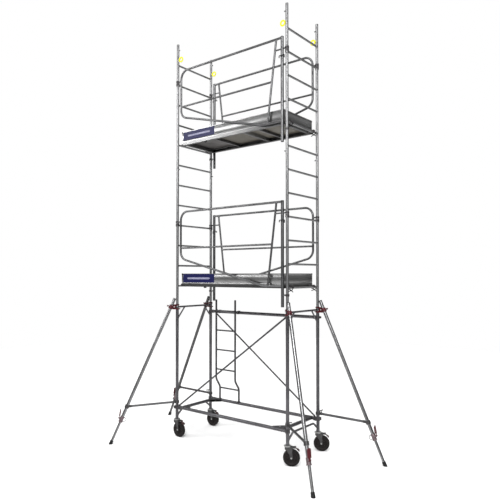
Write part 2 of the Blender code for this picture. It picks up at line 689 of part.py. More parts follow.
# ---- assembly -------------------------------------------------------------------------------
def build_tower(tower):
    """End frames, bracing, ladder and clips."""
    levels = {
        "lower": (BASE_TOP + GAP, LOWER_TOP, LOWER_RUNGS, (), True),
        "middle": (LOWER_TOP + GAP, MIDDLE_TOP, MIDDLE_RUNGS, (3.681,), True),
        "top": (MIDDLE_TOP + GAP, TOWER_TOP, TOP_RUNGS, (5.349,), False),
    }
    ends = {"left": (-BAY_LENGTH / 2, math.pi), "right": (BAY_LENGTH / 2, 0.0)}
    base = base_frame()
    for end, (x, turn) in ends.items():
        place("base_frame_" + end, base, "base_steel", tower, (x, 0, 0), (0, 0, turn))
    for level, numbers in levels.items():
        mesh = ladder_frame(*numbers)
        for end, (x, turn) in ends.items():
            name = level + "_ladder_frame_" + end
            place(name, mesh, "galvanised", tower, (x, 0, 0), (0, 0, turn))
    place("bottom_brace_frame", bottom_brace_frame(), "base_steel", tower)
    place("rear_beam", rear_beam(), "base_steel", tower)
    half_x, half_y = BAY_LENGTH / 2, BAY_WIDTH / 2
    front = brace((half_x, -half_y, 1.715), (-BRACE_FOOT_X, -half_y, FRAME_HEIGHT), (0, 0, 1))
    rear = brace((-0.80, half_y, REAR_BEAM_HEIGHT), (BRACE_FOOT_X, half_y, FRAME_HEIGHT), (1, 0, 0))
    place("front_diagonal_brace", front, "base_steel", tower)
    place("rear_diagonal_brace", rear, "base_steel", tower)
    place("access_ladder", access_ladder(), "base_steel", tower)
    clip = frame_clip()
    for corner in CORNERS:
        x, y = corner_xy(corner)
        turn = 0.0 if x > 0 else math.pi
        spot = (x - math.copysign(0.06, x), y, 5.215)
        place("frame_clip_" + corner, clip, "clip_yellow", tower, spot, (0, 0, turn))


def build_platforms(tower):
    """Two platforms, each with a deck, a hatch, toe boards and two guardrails."""
    deck, hatch, boards, rail = platform_deck(), platform_hatch(), toe_boards(), guardrail()
    for level, number in PLATFORM_RUNGS.items():
        z = rung_height(number)
        place(level + "_platform_deck", deck, "deck_aluminium", tower, (0, 0, z))
        hinge = (0, HATCH_PIVOT_Y, z + HATCH_PIVOT_Z)
        place(level + "_platform_hatch", hatch, "deck_panel", tower, hinge)
        place(level + "_toe_boards", boards, "deck_aluminium", tower, (0, 0, z))
        for side, y, turn in (("front", -BAY_WIDTH / 2, 0.0), ("rear", BAY_WIDTH / 2, math.pi)):
            name = level + "_" + side + "_guardrail"
            place(name, rail, "rail_steel", tower, (0, y, z), (0, 0, turn))


def build_castors(tower):
    """Four braked swivel castors under the posts."""
    fork, wheel, pedal = castor_fork(), castor_wheel(), castor_brake()
    for corner, (_, _, heading, _) in CORNERS.items():
        x, y = corner_xy(corner)
        turn = (0, 0, math.radians(heading))
        swivel = pivot("castor_swivel_" + corner, tower, (x, y, CASTOR_TOP), turn)
        place("castor_fork_" + corner, fork, "base_steel", swivel)
        axle = (WHEEL_TRAIL, 0, WHEEL_RADIUS - CASTOR_TOP)
        place("castor_wheel_" + corner, wheel, "tyre_black", swivel, axle)
        hinge = (BRAKE_PIVOT[0], 0, BRAKE_PIVOT[1])
        place("castor_brake_" + corner, pedal, "base_steel", swivel, hinge)


def build_stabilisers(tower):
    """Four outriggers that swing on the posts, each with a telescopic foot and a lock."""
    leg, foot, clamp = stabiliser_leg(), stabiliser_foot(), stabiliser_clamp()
    strut, lock = stabiliser_strut(), stabiliser_lock()
    lean = leg_matrix().to_euler()
    for corner, (_, _, _, heading) in CORNERS.items():
        x, y = corner_xy(corner)
        swing = pivot("stabiliser_swing_" + corner, tower, (x, y, 0), (0, 0, math.radians(heading)))
        place("stabiliser_clamp_" + corner, clamp, "clamp_red", swing)
        place("stabiliser_strut_" + corner, strut, "bright_tube", swing)
        line = pivot("leg_line_" + corner, swing, leg_matrix().to_translation(), lean)
        place("stabiliser_leg_" + corner, leg, "bright_tube", line)
        place("stabiliser_foot_" + corner, foot, "bright_tube", line)
        hinge = (LOCK_PIVOT[0], 0, LOCK_PIVOT[1])
        place("stabiliser_lock_" + corner, lock, "clamp_red", line, hinge)


def recentre(tower):
    """Move the tower so that the origin is the middle of its footprint, on the floor."""
    bpy.context.view_layer.update()
    low = Vector((math.inf, math.inf))
    high = Vector((-math.inf, -math.inf))
    for thing in bpy.data.objects:
        if thing.type != "MESH":
            continue
        for vertex in thing.data.vertices:
            point = thing.matrix_world @ vertex.co
            low = Vector((min(low.x, point.x), min(low.y, point.y)))
            high = Vector((max(high.x, point.x), max(high.y, point.y)))
    middle = (low + high) / 2
    tower.location = (-middle.x, -middle.y, 0)


def main():
    for thing in list(bpy.data.objects):
        bpy.data.objects.remove(thing)
    tower = pivot("tower", None, (0, 0, 0))
    build_tower(tower)
    build_platforms(tower)
    build_castors(tower)
    build_stabilisers(tower)
    recentre(tower)
    bpy.context.view_layer.update()


main()
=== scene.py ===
"""Looks for the mobile tower scaffold: fine geometry, materials, light and camera."""

import json
import math

import bmesh
import bpy
from mathutils import Matrix, Vector


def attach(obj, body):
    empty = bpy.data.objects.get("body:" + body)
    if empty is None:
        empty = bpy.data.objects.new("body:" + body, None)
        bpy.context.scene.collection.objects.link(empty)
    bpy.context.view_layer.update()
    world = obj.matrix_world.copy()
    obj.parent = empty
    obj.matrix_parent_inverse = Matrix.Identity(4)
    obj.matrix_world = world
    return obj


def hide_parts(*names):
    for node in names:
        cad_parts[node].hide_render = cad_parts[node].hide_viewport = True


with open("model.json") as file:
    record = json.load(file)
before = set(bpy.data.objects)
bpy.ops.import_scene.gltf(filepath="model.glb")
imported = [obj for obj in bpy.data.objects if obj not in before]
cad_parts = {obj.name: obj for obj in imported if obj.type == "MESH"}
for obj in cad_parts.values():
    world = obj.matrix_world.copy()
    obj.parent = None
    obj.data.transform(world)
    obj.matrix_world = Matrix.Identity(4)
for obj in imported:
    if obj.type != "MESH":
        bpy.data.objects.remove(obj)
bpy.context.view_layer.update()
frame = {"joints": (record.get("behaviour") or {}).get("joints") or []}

# ---- dimensions, as the CAD has them --------------------------------------------------------
HALF_X = 0.92
HALF_Y = 0.34
PITCH = 0.28
FIRST_RUNG = 2.065
BASE_TOP = 1.815
LOWER_TOP = 2.935
MIDDLE_TOP = 4.895
TOWER_TOP = 5.437
POST = 0.021
STILE = 0.0175
RUNG = 0.0125
CORNERS = {
    "front_left": (-1, -1),
    "front_right": (1, -1),
    "rear_left": (-1, 1),
    "rear_right": (1, 1),
}
PLATFORMS = {"lower": FIRST_RUNG, "upper": FIRST_RUNG + 7 * PITCH}
BRACE_HEIGHT = 0.4
STRUT_HEIGHT = 0.47
BEAM_HEIGHT = 1.68
TOP_BAR = 1.775              # the base frames' top bar, where the stabilisers' legs hang
LEG_REACH = 0.09             # from a post's axis to its leg's, at the top bar
FOOT_REACH = 0.895           # the same on the floor
TILT = math.atan2(FOOT_REACH - LEG_REACH, TOP_BAR)
LEG_TOP = 0.128
LOCK_PIVOT = (0.0375, 0, -1.604)
LADDER_Y = 0.257
LADDER_TUBE = 0.0135
BRACE_TUBE = 0.0108
RAIL_POST_X = 0.851
RAIL_END_X = -0.855
RAIL_TOP = 1.02
RAIL_MIDDLE = 0.52
RAIL_LOW = 0.022
RAIL_TUBE = 0.014
HATCH_HINGES = (-0.7, -0.43)
HINGE_Y = -0.262
HINGE_Z = 0.058
TRAIL = 0.045                # a castor's axle from its swivel
DROP = -0.14

X, Y, Z = (1, 0, 0), (0, 1, 0), (0, 0, 1)
UPRIGHT = Matrix.Rotation(math.radians(90), 4, "X")     # stands a flat plate up in X-Z

joints = {joint["name"]: joint for joint in frame["joints"]}
swivels = {corner: Vector(joints["castor_swivel_" + corner]["pos_m"]) for corner in CORNERS}
MIDDLE = sum(swivels.values(), Vector()) / 4
TOWER = Matrix.Translation((MIDDLE.x, MIDDLE.y, 0))


# ---- geometry -------------------------------------------------------------------------------
def square_to(direction):
    """Two unit vectors square to a direction and to each other."""
    helper = Vector(X) if abs(direction.z) > 0.7 else Vector(Z)
    side = direction.cross(helper).normalized()
    return side, direction.cross(side).normalized()


def circle(centre, side, up, radius, count):
    turns = [math.tau * (i + 0.5) / count for i in range(count)]
    return [centre + radius * (math.cos(a) * side + math.sin(a) * up) for a in turns]


def fan(centre, radius, start, stop, steps):
    """Points (x, y) along an arc between two angles in degrees."""
    turns = [math.radians(start + (stop - start) * i / steps) for i in range(steps + 1)]
    return [(centre[0] + radius * math.cos(a), centre[1] + radius * math.sin(a)) for a in turns]


def both_sides(half):
    """A turned profile that is the same on both sides of its middle."""
    return [(radius, -along) for radius, along in half] + half[::-1]


def moved(x, y, z):
    return Matrix.Translation((x, y, z))


def bent(points, radius, steps=6):
    """The same line with its inner corners rounded."""
    points = [Vector(p) for p in points]
    line = [points[0]]
    for before, corner, after in zip(points, points[1:], points[2:]):
        way_in, way_out = (corner - before), (after - corner)
        angle = way_in.angle(way_out)
        if angle < 1e-3:
            line.append(corner)
            continue
        reach = radius * math.tan(angle / 2)
        reach = min(reach, way_in.length * 0.49, way_out.length * 0.49)
        start = corner - way_in.normalized() * reach
        end = corner + way_out.normalized() * reach
        for i in range(steps + 1):
            t = i / steps
            line.append(start * (1 - t) ** 2 + corner * 2 * t * (1 - t) + end * t * t)
    line.append(points[-1])
    return line


class Shape:
    """Closed shells collected for one piece."""

    def __init__(self):
        self.points = []
        self.faces = []

    def add(self, points, faces):
        first = len(self.points)
        self.points.extend(points)
        self.faces.extend(tuple(first + k for k in face) for face in faces)
        return self

    def copy_from(self, other, matrix):
        return self.add([matrix @ p for p in other.points], other.faces)

    def shell(self, rings, closed=False):
        """Rings of points joined in order: a loop if closed, and otherwise capped at both ends."""
        count, last = len(rings[0]), len(rings) - 1
        faces = []
        for i in range(last + closed):
            low, high = i * count, (i + 1) % len(rings) * count
            for k in range(count):
                after = (k + 1) % count
                faces.append((low + k, low + after, high + after, high + k))
        if not closed:
            faces += [range(count), range(last * count, last * count + count)]
        return self.add([Vector(p) for ring in rings for p in ring], faces)

    def tube(self, points, radius, sides=20, open_start=0.0, open_end=0.0, wall=0.003, edge=0.0008):
        """A round bar along a line. open_start and open_end are how deep its ends are hollow."""
        points = [Vector(p) for p in points]
        headings = [(b - a).normalized() for a, b in zip(points, points[1:])]
        side, up = square_to(headings[0])
        ring = circle(points[0], side, up, radius, sides)
        rings = [ring]
        for i in range(1, len(points)):
            heading = headings[i - 1]
            normal = heading
            if i < len(points) - 1:
                normal = (heading + headings[i]).normalized()
            ring = [p + heading * ((points[i] - p).dot(normal) / heading.dot(normal)) for p in ring]
            rings.append(ring)

        def end(ring, centre, inward, hollow):
            def at(reach, depth):
                return [centre + (p - centre) * (reach / radius) + inward * depth for p in ring]

            made = [at(radius - edge, 0.0), at(radius, edge)]
            if hollow:
                made = [at(radius - wall, hollow), at(radius - wall, edge * 0.5)] + made
            return made

        head = end(rings[0], points[0], headings[0], open_start)
        tail = end(rings[-1], points[-1], -headings[-1], open_end)
        return self.shell(head + rings[1:-1] + tail[::-1])

    def lathe(self, centre, axis, profile, sides=24, closed=False, turn=0.0):
        """A turned shape. profile is (radius, distance along the axis)."""
        centre = Vector(centre)
        axis = Vector(axis).normalized()
        side, up = square_to(axis)
        spin = Matrix.Rotation(turn, 3, axis)
        side, up = spin @ side, spin @ up
        return self.shell([circle(centre + axis * along, side, up, radius, sides)
                           for radius, along in profile], closed)

    def collar(self, centre, axis, outer, bore, length, sides=24, edge=0.0012):
        half = length / 2
        profile = [(outer - edge, -half), (outer, -half + edge), (outer, half - edge)]
        profile += [(outer - edge, half), (bore, half), (bore, -half)]
        return self.lathe(centre, axis, profile, sides, closed=True)

    def bolt(self, centre, axis, across, height, reach=0.0, shank=0.0):
        """A hexagon head on a surface, with an optional shank below it."""
        centre = Vector(centre)
        corner = across / math.sqrt(3)
        profile = [(corner * 0.86, height), (corner, height * 0.82), (corner, 0.0)]
        self.lathe(centre, axis, profile, 6)
        self.lathe(centre, axis, [(corner * 1.18, 0.0012), (corner * 1.18, -0.0002)], 20)
        if reach:
            self.lathe(centre, axis, [(shank, -reach), (shank, 0.0)], 12)
        return self

    def box(self, low, high, edge=0.001):
        """A box with softened edges."""
        low, high = Vector(low), Vector(high)
        edge = min([edge] + [0.45 * (b - a) for a, b in zip(low, high)])

        def ring(z, inset):
            x0, y0 = low.x + inset, low.y + inset
            x1, y1 = high.x - inset, high.y - inset
            return [
                (x0 + edge, y0, z), (x1 - edge, y0, z), (x1, y0 + edge, z), (x1, y1 - edge, z),
                (x1 - edge, y1, z), (x0 + edge, y1, z), (x0, y1 - edge, z), (x0, y0 + edge, z),
            ]

        return self.shell([ring(low.z, edge), ring(low.z + edge, 0),
                           ring(high.z - edge, 0), ring(high.z, edge)])

    def plate(self, outline, place, thickness, holes=(), bevel=0.0006):
        """A flat plate with round holes, cut by Blender's own curve filling. place maps its
        own X-Y plane into the tower, and the plate is centred on that plane."""
        curve = bpy.data.curves.new("plate", "CURVE")
        curve.dimensions = "2D"
        curve.fill_mode = "BOTH"
        curve.extrude = thickness / 2 - bevel
        curve.bevel_depth = bevel
        curve.bevel_resolution = 0
        curve.offset = -bevel
        loops = [list(outline)]
        for x, y, radius in holes:
            turns = [math.tau * i / 16 for i in range(16)]
            loops.append([(x + radius * math.cos(a), y + radius * math.sin(a)) for a in turns])
        for points in loops:
            spline = curve.splines.new("POLY")
            spline.points.add(len(points) - 1)
            for point, (x, y) in zip(spline.points, points):
                point.co = (x, y, 0, 1)
            spline.use_cyclic_u = True
        helper = bpy.data.objects.new("plate", curve)
        bpy.context.scene.collection.objects.link(helper)
        graph = bpy.context.evaluated_depsgraph_get()
        mesh = bpy.data.meshes.new_from_object(helper.evaluated_get(graph))
        bpy.data.objects.remove(helper)
        bpy.data.curves.remove(curve)
        tidy = bmesh.new()
        tidy.from_mesh(mesh)
        bmesh.ops.remove_doubles(tidy, verts=tidy.verts, dist=1e-6)
        tidy.verts.index_update()
        faces = [[v.index for v in face.verts] for face in tidy.faces]
        self.add([place @ v.co for v in tidy.verts], faces)
        tidy.free()
        bpy.data.meshes.remove(mesh)
        return self

    def ring_bead(self, points, radius, sides=6):
        """A small round bead along a closed line."""
        points = [Vector(p) for p in points]
        count = len(points)
        rings = []
        middle = sum(points, Vector()) / count
        for i, point in enumerate(points):
            heading = (points[(i + 1) % count] - points[i - 1]).normalized()
            out = point - middle
            out = (out - heading * out.dot(heading)).normalized()
            rings.append(circle(point, out, heading.cross(out), radius, sides))
        return self.shell(rings, closed=True)

    def weld(self, host, host_axis, host_radius, heading, radius, bead=0.0028, count=20):
        """The weld where a round bar leaves a round bar: host is the point where the lines meet."""
        host = Vector(host)
        axis = Vector(host_axis).normalized()
        heading = Vector(heading).normalized()
        side, up = square_to(heading)
        lean = heading - axis * heading.dot(axis)
        line = []
        for i in range(count):
            a = math.tau * i / count
            offset = (side * math.cos(a) + up * math.sin(a)) * (radius + bead * 0.35)
            flat = offset - axis * offset.dot(axis)
            past = flat.length_squared - host_radius ** 2
            room = flat.dot(lean) ** 2 - lean.length_squared * past
            along = (-flat.dot(lean) + math.sqrt(max(room, 0.0))) / lean.length_squared
            line.append(host + offset + heading * along)
        return self.ring_bead(line, bead)

    def mesh(self, name, matrix):
        mesh = bpy.data.meshes.new(name)
        mesh.from_pydata([matrix @ p for p in self.points], [], self.faces)
        tidy = bmesh.new()
        tidy.from_mesh(mesh)
        bmesh.ops.recalc_face_normals(tidy, faces=tidy.faces)
        tidy.to_mesh(mesh)
        tidy.free()
        mesh.shade_smooth()
        mesh.set_sharp_from_angle(angle=math.radians(38))
        return mesh


def piece(name, shape, finish, body="tower", matrix=TOWER, replaced=()):
    """Add a finished piece that rides on a body and stands for CAD nodes."""
    made = bpy.data.objects.new(name, shape.mesh(name, matrix))
    bpy.context.scene.collection.objects.link(made)
    made.data.materials.append(finish)
    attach(made, body)
    if replaced:
        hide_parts(*replaced)
    return made


# ---- materials ------------------------------------------------------------------------------
class Nodes:
    """Builds one procedural material."""

    def __init__(self, name, metallic, roughness, coat=0.0):
        self.material = bpy.data.materials.new(name)
        self.material.use_nodes = True
        self.tree = self.material.node_tree
        self.shader = self.tree.nodes["Principled BSDF"]
        self.shader.inputs["Metallic"].default_value = metallic
        self.shader.inputs["Roughness"].default_value = roughness
        self.shader.inputs["Coat Weight"].default_value = coat
        self.place = self.make("ShaderNodeTexCoord").outputs["Object"]

    def make(self, kind, **values):
        node = self.tree.nodes.new(kind)
        for key, value in values.items():
            if key in node.inputs:
                node.inputs[key].default_value = value
            else:
                setattr(node, key, value)
        return node

    def join(self, source, target):
        self.tree.links.new(source, target)

    def stretched(self, scale):
        node = self.make("ShaderNodeMapping", Scale=scale)
        self.join(self.place, node.inputs["Vector"])
        return node.outputs["Vector"]

    def noise(self, scale, detail=4.0, roughness=0.6, stretch=None):
        node = self.make("ShaderNodeTexNoise", Scale=scale, Detail=detail, Roughness=roughness)
        self.join(self.stretched(stretch) if stretch else self.place, node.inputs["Vector"])
        return node.outputs["Fac"]

    def cells(self, scale, stretch=None):
        node = self.make("ShaderNodeTexVoronoi", Scale=scale)
        self.join(self.stretched(stretch) if stretch else self.place, node.inputs["Vector"])
        return node

    def ramp(self, source, *stops):
        """stops are (position, grey or colour)."""
        node = self.make("ShaderNodeValToRGB")
        ramp = node.color_ramp
        while len(ramp.elements) < len(stops):
            ramp.elements.new(0.5)
        for element, (position, value) in zip(ramp.elements, stops):
            element.position = position
            colour = (value, value, value) if isinstance(value, (int, float)) else value
            element.color = (*colour, 1.0)
        self.join(source, node.inputs["Fac"])
        return node.outputs["Color"]

    def mix(self, a, b, factor, mode="MIX"):
        node = self.make("ShaderNodeMix", data_type="RGBA", blend_type=mode)
        for value, index in ((factor, 0), (a, 6), (b, 7)):
            if isinstance(value, bpy.types.NodeSocket):
                self.join(value, node.inputs[index])
            elif index == 0:
                node.inputs[0].default_value = value
            else:
                node.inputs[index].default_value = (*value, 1.0)
        return node.outputs[2]

    def stain(self, scale, detail, roughness, start, stop, share):
        """Scattered spots, as a factor from 0 to share."""
        spots = self.ramp(self.noise(scale, detail, roughness), (start, 0.0), (stop, 1.0))
        return self.mix((0, 0, 0), spots, share)

    def colour(self, source):
        self.join(source, self.shader.inputs["Base Color"])

    def rough(self, source, low, high):
        node = self.make("ShaderNodeMapRange")
        node.inputs["To Min"].default_value = low
        node.inputs["To Max"].default_value = high
        self.join(source, node.inputs["Value"])
        self.join(node.outputs["Result"], self.shader.inputs["Roughness"])

    def bump(self, source, distance, strength=1.0):
        node = self.make("ShaderNodeBump", Strength=strength, Distance=distance)
        self.join(source, node.inputs["Height"])
        self.join(node.outputs["Normal"], self.shader.inputs["Normal"])


def times(colour, share):
    return tuple(c * share for c in colour)


def steel(name, dark, light, metallic, low, high, spangle=0.1, grime=0.25):
    """Zinc coated tube: patchy grey, crystal spangle, drawn lines and dull stains."""
    made = Nodes(name, metallic, (low + high) / 2)
    patches = made.ramp(made.noise(5.0, 5.0), (0.32, dark), (0.68, light))
    sparkle = made.ramp(made.cells(210.0).outputs["Color"], (0.15, 0.35), (0.85, 1.0))
    base = made.mix(patches, sparkle, spangle, "OVERLAY")
    soil = made.stain(17.0, 8.0, 0.7, 0.5, 0.74, grime)
    made.colour(made.mix(base, times(dark, 0.62), soil))
    made.rough(made.noise(60.0, 6.0, 0.7), low, high)
    made.bump(made.noise(420.0, 3.0, 0.5), 0.0004, 0.25)
    return made.material


def aluminium(name, shade):
    """Mill-finish extrusion with drawn lines along X."""
    made = Nodes(name, 0.9, 0.35)
    patches = made.ramp(made.noise(2.4, 4.0), (0.3, (shade * 0.72,) * 3), (0.7, (shade,) * 3))
    drawn = made.noise(900.0, 3.0, 0.6, (0.012, 1.0, 1.0))
    lines = made.ramp(drawn, (0.3, 0.72), (0.7, 1.0))
    base = made.mix(patches, lines, 0.55, "MULTIPLY")
    soil = made.stain(26.0, 8.0, 0.75, 0.55, 0.72, 0.3)
    made.colour(made.mix(base, (shade * 0.35,) * 3, soil))
    made.rough(made.noise(500.0, 3.0, 0.6, (0.02, 1.0, 1.0)), 0.27, 0.36)
    made.bump(drawn, 0.0001, 0.15)
    return made.material


def plywood(name, tint):
    """Film-faced plywood: grain under a brown film, with a pressed wire pattern and scuffs."""
    made = Nodes(name, 0.0, 0.55, 0.12)
    grain = made.noise(22.0, 7.0, 0.65, (0.25, 3.2, 3.2))
    wood = made.ramp(grain, (0.3, times(tint, 0.62)), (0.62, tint))
    pale = tuple(min(1.0, c * 1.9 + 0.05) for c in tint)
    made.colour(made.mix(wood, pale, made.stain(9.0, 9.0, 0.8, 0.56, 0.7, 0.35)))
    made.rough(made.noise(80.0, 5.0), 0.42, 0.7)
    made.bump(made.cells(170.0, (1.0, 1.0, 0.0)).outputs["Distance"], 0.0008, 0.35)
    return made.material


def paint(name, colour, worn, roughness=0.42, gloss=0.3):
    """Coloured paint on steel, chipped to dark metal here and there."""
    made = Nodes(name, 0.0, roughness, 0.05)
    made.shader.inputs["Specular IOR Level"].default_value = gloss
    shade = made.ramp(made.noise(30.0, 5.0), (0.3, times(colour, 0.72)), (0.7, colour))
    chips = made.ramp(made.noise(130.0, 8.0, 0.8), (0.6, 0.0), (0.64, 1.0))
    made.colour(made.mix(shade, worn, chips))
    made.rough(made.noise(90.0, 5.0), roughness - 0.08, roughness + 0.15)
    made.bump(made.noise(260.0, 4.0), 0.0004, 0.3)
    return made.material


def moulded(name, colour, roughness, grain=350.0, dust=0.0):
    """Moulded plastic or rubber with a fine grain and, where asked, pale dust."""
    made = Nodes(name, 0.0, roughness)
    made.shader.inputs["Specular IOR Level"].default_value = 0.25
    shade = made.ramp(made.noise(14.0, 5.0), (0.3, times(colour, 0.75)), (0.7, colour))
    dusty = made.stain(40.0, 8.0, 0.75, 0.48, 0.74, dust)
    made.colour(made.mix(shade, (0.3, 0.26, 0.23), dusty))
    made.rough(made.noise(120.0, 5.0), roughness - 0.08, roughness + 0.1)
    made.bump(made.noise(grain, 4.0, 0.6), 0.0005, 0.35)
    return made.material


GALVANISED = steel("galvanised_steel", (0.185, 0.185, 0.188),
                   (0.275, 0.275, 0.28), 0.95, 0.28, 0.44)
BASE = steel("base_steel", (0.068, 0.066, 0.071), (0.115, 0.112, 0.119), 0.9, 0.28, 0.46)
RAIL = steel("rail_steel", (0.088, 0.088, 0.09), (0.15, 0.15, 0.154), 0.92, 0.26, 0.42)
BRIGHT = steel("bright_tube_steel", (0.165, 0.165, 0.168),
               (0.245, 0.245, 0.25), 1.00, 0.22, 0.36, 0.05, 0.15)
# a darker copy of the bright tube steel: painted shade for the rear-left stabiliser, whose tubes
# are seen from their shaded side
SHADED_TUBE = steel("shaded_tube_steel", (0.062, 0.061, 0.062),
             (0.105, 0.104, 0.105), 0.8, 0.3, 0.48, 0.05, 0.3)
CAST = steel("cast_steel", (0.035, 0.032, 0.035), (0.07, 0.065, 0.068), 0.6, 0.38, 0.58, 0.05, 0.5)
SLEEVE = steel("sleeve_steel", (0.095, 0.068, 0.074),
               (0.17, 0.13, 0.138), 0.7, 0.34, 0.52, 0.05, 0.5)
DARK = steel("dark_tube_steel", (0.042, 0.041, 0.044), (0.075, 0.073, 0.078), 0.85, 0.3, 0.48)
ZINC = steel("zinc_plate", (0.28, 0.28, 0.28), (0.42, 0.42, 0.415), 0.8, 0.26, 0.42, 0.1, 0.2)
FORK = steel("fork_steel", (0.038, 0.037, 0.038), (0.075, 0.073, 0.074), 0.75, 0.34, 0.52, 0.1, 0.4)
ALLOY = aluminium("mill_aluminium", 0.3)
# a darker copy of the mill aluminium: painted shade on the platform beams, which sit under the toe
# boards
SHADED_BEAM = aluminium("shaded_beam_aluminium", 0.15)
PANEL = plywood("deck_plywood", (0.095, 0.085, 0.065))
HATCH = plywood("hatch_plywood", (0.045, 0.04, 0.037))
RED = paint("clamp_red_paint", (0.062, 0.003, 0.007), (0.012, 0.008, 0.008))
YELLOW = moulded("clip_yellow_plastic", (1.0, 0.95, 0.02), 0.4)
RUBBER = moulded("tyre_rubber", (0.0065, 0.005, 0.005), 0.8, 260.0, 0.04)
HUB = moulded("hub_polyamide", (0.009, 0.0065, 0.0065), 0.6, 400.0, 0.05)
PEDAL = paint("pedal_paint", (0.04, 0.014, 0.014), (0.1, 0.08, 0.08), 0.5)
BLACK = moulded("black_plastic", (0.007, 0.007, 0.0075), 0.55)
BLUE = paint("label_blue", (0.01, 0.011, 0.062), (0.009, 0.01, 0.055), 0.65, 0.08)
PALE = paint("label_pale", (0.26, 0.26, 0.36), (0.2, 0.2, 0.3), 0.65, 0.08)


# ---- tower ----------------------------------------------------------------------------------
def rung_height(number):
    return FIRST_RUNG + PITCH * number


def end_matrix(end):
    """Left and right ends are the same frame, turned half round."""
    turn = 0.0 if end == "right" else math.pi
    return TOWER @ Matrix.Rotation(turn, 4, "Z") @ moved(HALF_X, 0, 0)


def bar_between_stiles(shape, z, radius, host_radius):
    shape.tube([(0, -HALF_Y, z), (0, HALF_Y, z)], radius, 18)
    for y, way in ((-HALF_Y, 1), (HALF_Y, -1)):
        shape.weld((0, y, z), Z, host_radius, (0, way, 0), radius)


def ladder_frames():
    levels = {
        "lower": (BASE_TOP, LOWER_TOP, range(0, 4), (), True),
        "middle": (LOWER_TOP, MIDDLE_TOP, range(4, 11), (3.681,), True),
        "top": (MIDDLE_TOP, TOWER_TOP, range(11, 12), (5.349,), False),
    }
    for level, (bottom, top, rungs, studs, socket) in levels.items():
        shape = Shape()
        for y in (-HALF_Y, HALF_Y):
            hollow = 0.05 if not socket else 0.0
            shape.tube([(0, y, bottom + 0.0006), (0, y, top)], STILE, 24, open_end=hollow)
            if socket:
                profile = [(STILE, top - 0.06), (0.0205, top - 0.047), (0.0212, top - 0.044)]
                profile += [(0.0212, top - 0.003), (0.02, top)]
                shape.lathe((0, y, 0), Z, profile)
                ring = circle(Vector((0, y, top - 0.046)), Vector(X), Vector(Y), 0.0208, 24)
                shape.ring_bead(ring, 0.0016)
            for z in studs:
                shape.tube([(-0.01, y, z), (-0.0345, y, z)], 0.0058, 14)
                shape.weld((0, y, z), Z, STILE, (-1, 0, 0), 0.0058, 0.0018, 14)
                head = [(0.0085, -0.006), (0.0085, 0.0), (0.006, 0.002)]
                shape.lathe((-0.0345, y, z), (-1, 0, 0), head, 16)
        for number in rungs:
            bar_between_stiles(shape, rung_height(number), RUNG, STILE)
        for end in ("left", "right"):
            name = f"{level}_ladder_frame_{end}"
            piece(name + "_tubes", shape, GALVANISED, matrix=end_matrix(end), replaced=[name])


def joint_pins():
    """The spring pins that lock each frame to the one below, and the thicker upper joints."""
    heights = {"base": BASE_TOP - 0.028, "lower": LOWER_TOP - 0.022, "middle": MIDDLE_TOP - 0.022}
    for level, z in heights.items():
        shape, sleeves = Shape(), Shape()
        for side_x, side_y in CORNERS.values():
            centre = Vector((side_x * HALF_X, side_y * HALF_Y, z))
            out = Vector((0, side_y, 0))
            if level == "base":
                out = Vector((side_x, -side_y, 0)).normalized()
            else:
                sleeves.collar(centre, Z, 0.0242, 0.019, 0.034, 28)
            across = Vector((-out.y, out.x, 0))
            shape.lathe(centre, out, [(0.0042, -0.027), (0.0042, 0.03), (0.003, 0.0315)], 12)
            shape.lathe(centre, out, [(0.0068, -0.029), (0.0068, -0.024)], 14)
            turns = [math.tau * i / 20 for i in range(20)]
            loop = [centre + out * 0.0275 + across * 0.009 * math.cos(a)
                    + Vector((0, 0, 0.012 * math.sin(a) - 0.0115)) for a in turns]
            shape.ring_bead(loop, 0.0011)
        piece(f"{level}_joint_pins", shape, ZINC)
        if level != "base":
            piece(f"{level}_joint_sleeves", sleeves, CAST)


def base_frames():
    shape = Shape()
    for y in (-HALF_Y, HALF_Y):
        side = math.copysign(1, y)
        shape.tube([(0, y, 0.2406), (0, y, BASE_TOP)], POST, 28)
        shape.collar((0, y, BASE_TOP - 0.006), Z, 0.0224, 0.0195, 0.012)
        shape.collar((0, y, 0.25), Z, 0.0226, 0.019, 0.018)
        foot, head = Vector((0, y, 1.605)), Vector((0, y - side * 0.146, TOP_BAR))
        shape.tube([head, foot], 0.01, 16)
        shape.weld(foot, Z, POST, head - foot, 0.01)
        shape.weld(head, Y, RUNG, foot - head, 0.01)
        bend = Vector((0, y - side * 0.11, 0.365))
        start = Vector((0, y, 0.28))
        shape.weld(start, Z, POST, bend - start, RUNG)
    bar_between_stiles(shape, TOP_BAR, RUNG, POST)
    low_bar = [(0, -HALF_Y, 0.28), (0, -0.23, 0.365), (0, 0.23, 0.365), (0, HALF_Y, 0.28)]
    shape.tube(bent(low_bar, 0.06), RUNG, 18)
    for end in ("left", "right"):
        name = f"base_frame_{end}"
        piece(name + "_tubes", shape, BASE, matrix=end_matrix(end), replaced=[name])


def coupler(shape, centre, axis, ear, outer, bore, length, bolt=0.01):
    """A clamp around a tube: a ring, two ears on one side and the bolt that pulls them."""
    centre, axis, ear = Vector(centre), Vector(axis).normalized(), Vector(ear).normalized()
    shape.collar(centre, axis, outer, bore, length)
    across = axis.cross(ear).normalized()
    place = Matrix((ear, axis, across)).transposed().to_4x4()
    for side in (-1, 1):
        place.translation = centre + across * side * 0.0055
        reach, half = outer + 0.017, length * 0.42
        outline = [(outer - 0.006, -half), (reach - 0.004, -half), (reach, -half + 0.004)]
        outline += [(reach, half - 0.004), (reach - 0.004, half), (outer - 0.006, half)]
        shape.plate(outline, place, 0.004)
    spot = centre + ear * (outer + 0.008)
    shape.bolt(spot + across * 0.0076, across, bolt, 0.006, 0.022, bolt * 0.28)
    shape.bolt(spot - across * 0.0076, -across, bolt, 0.005)


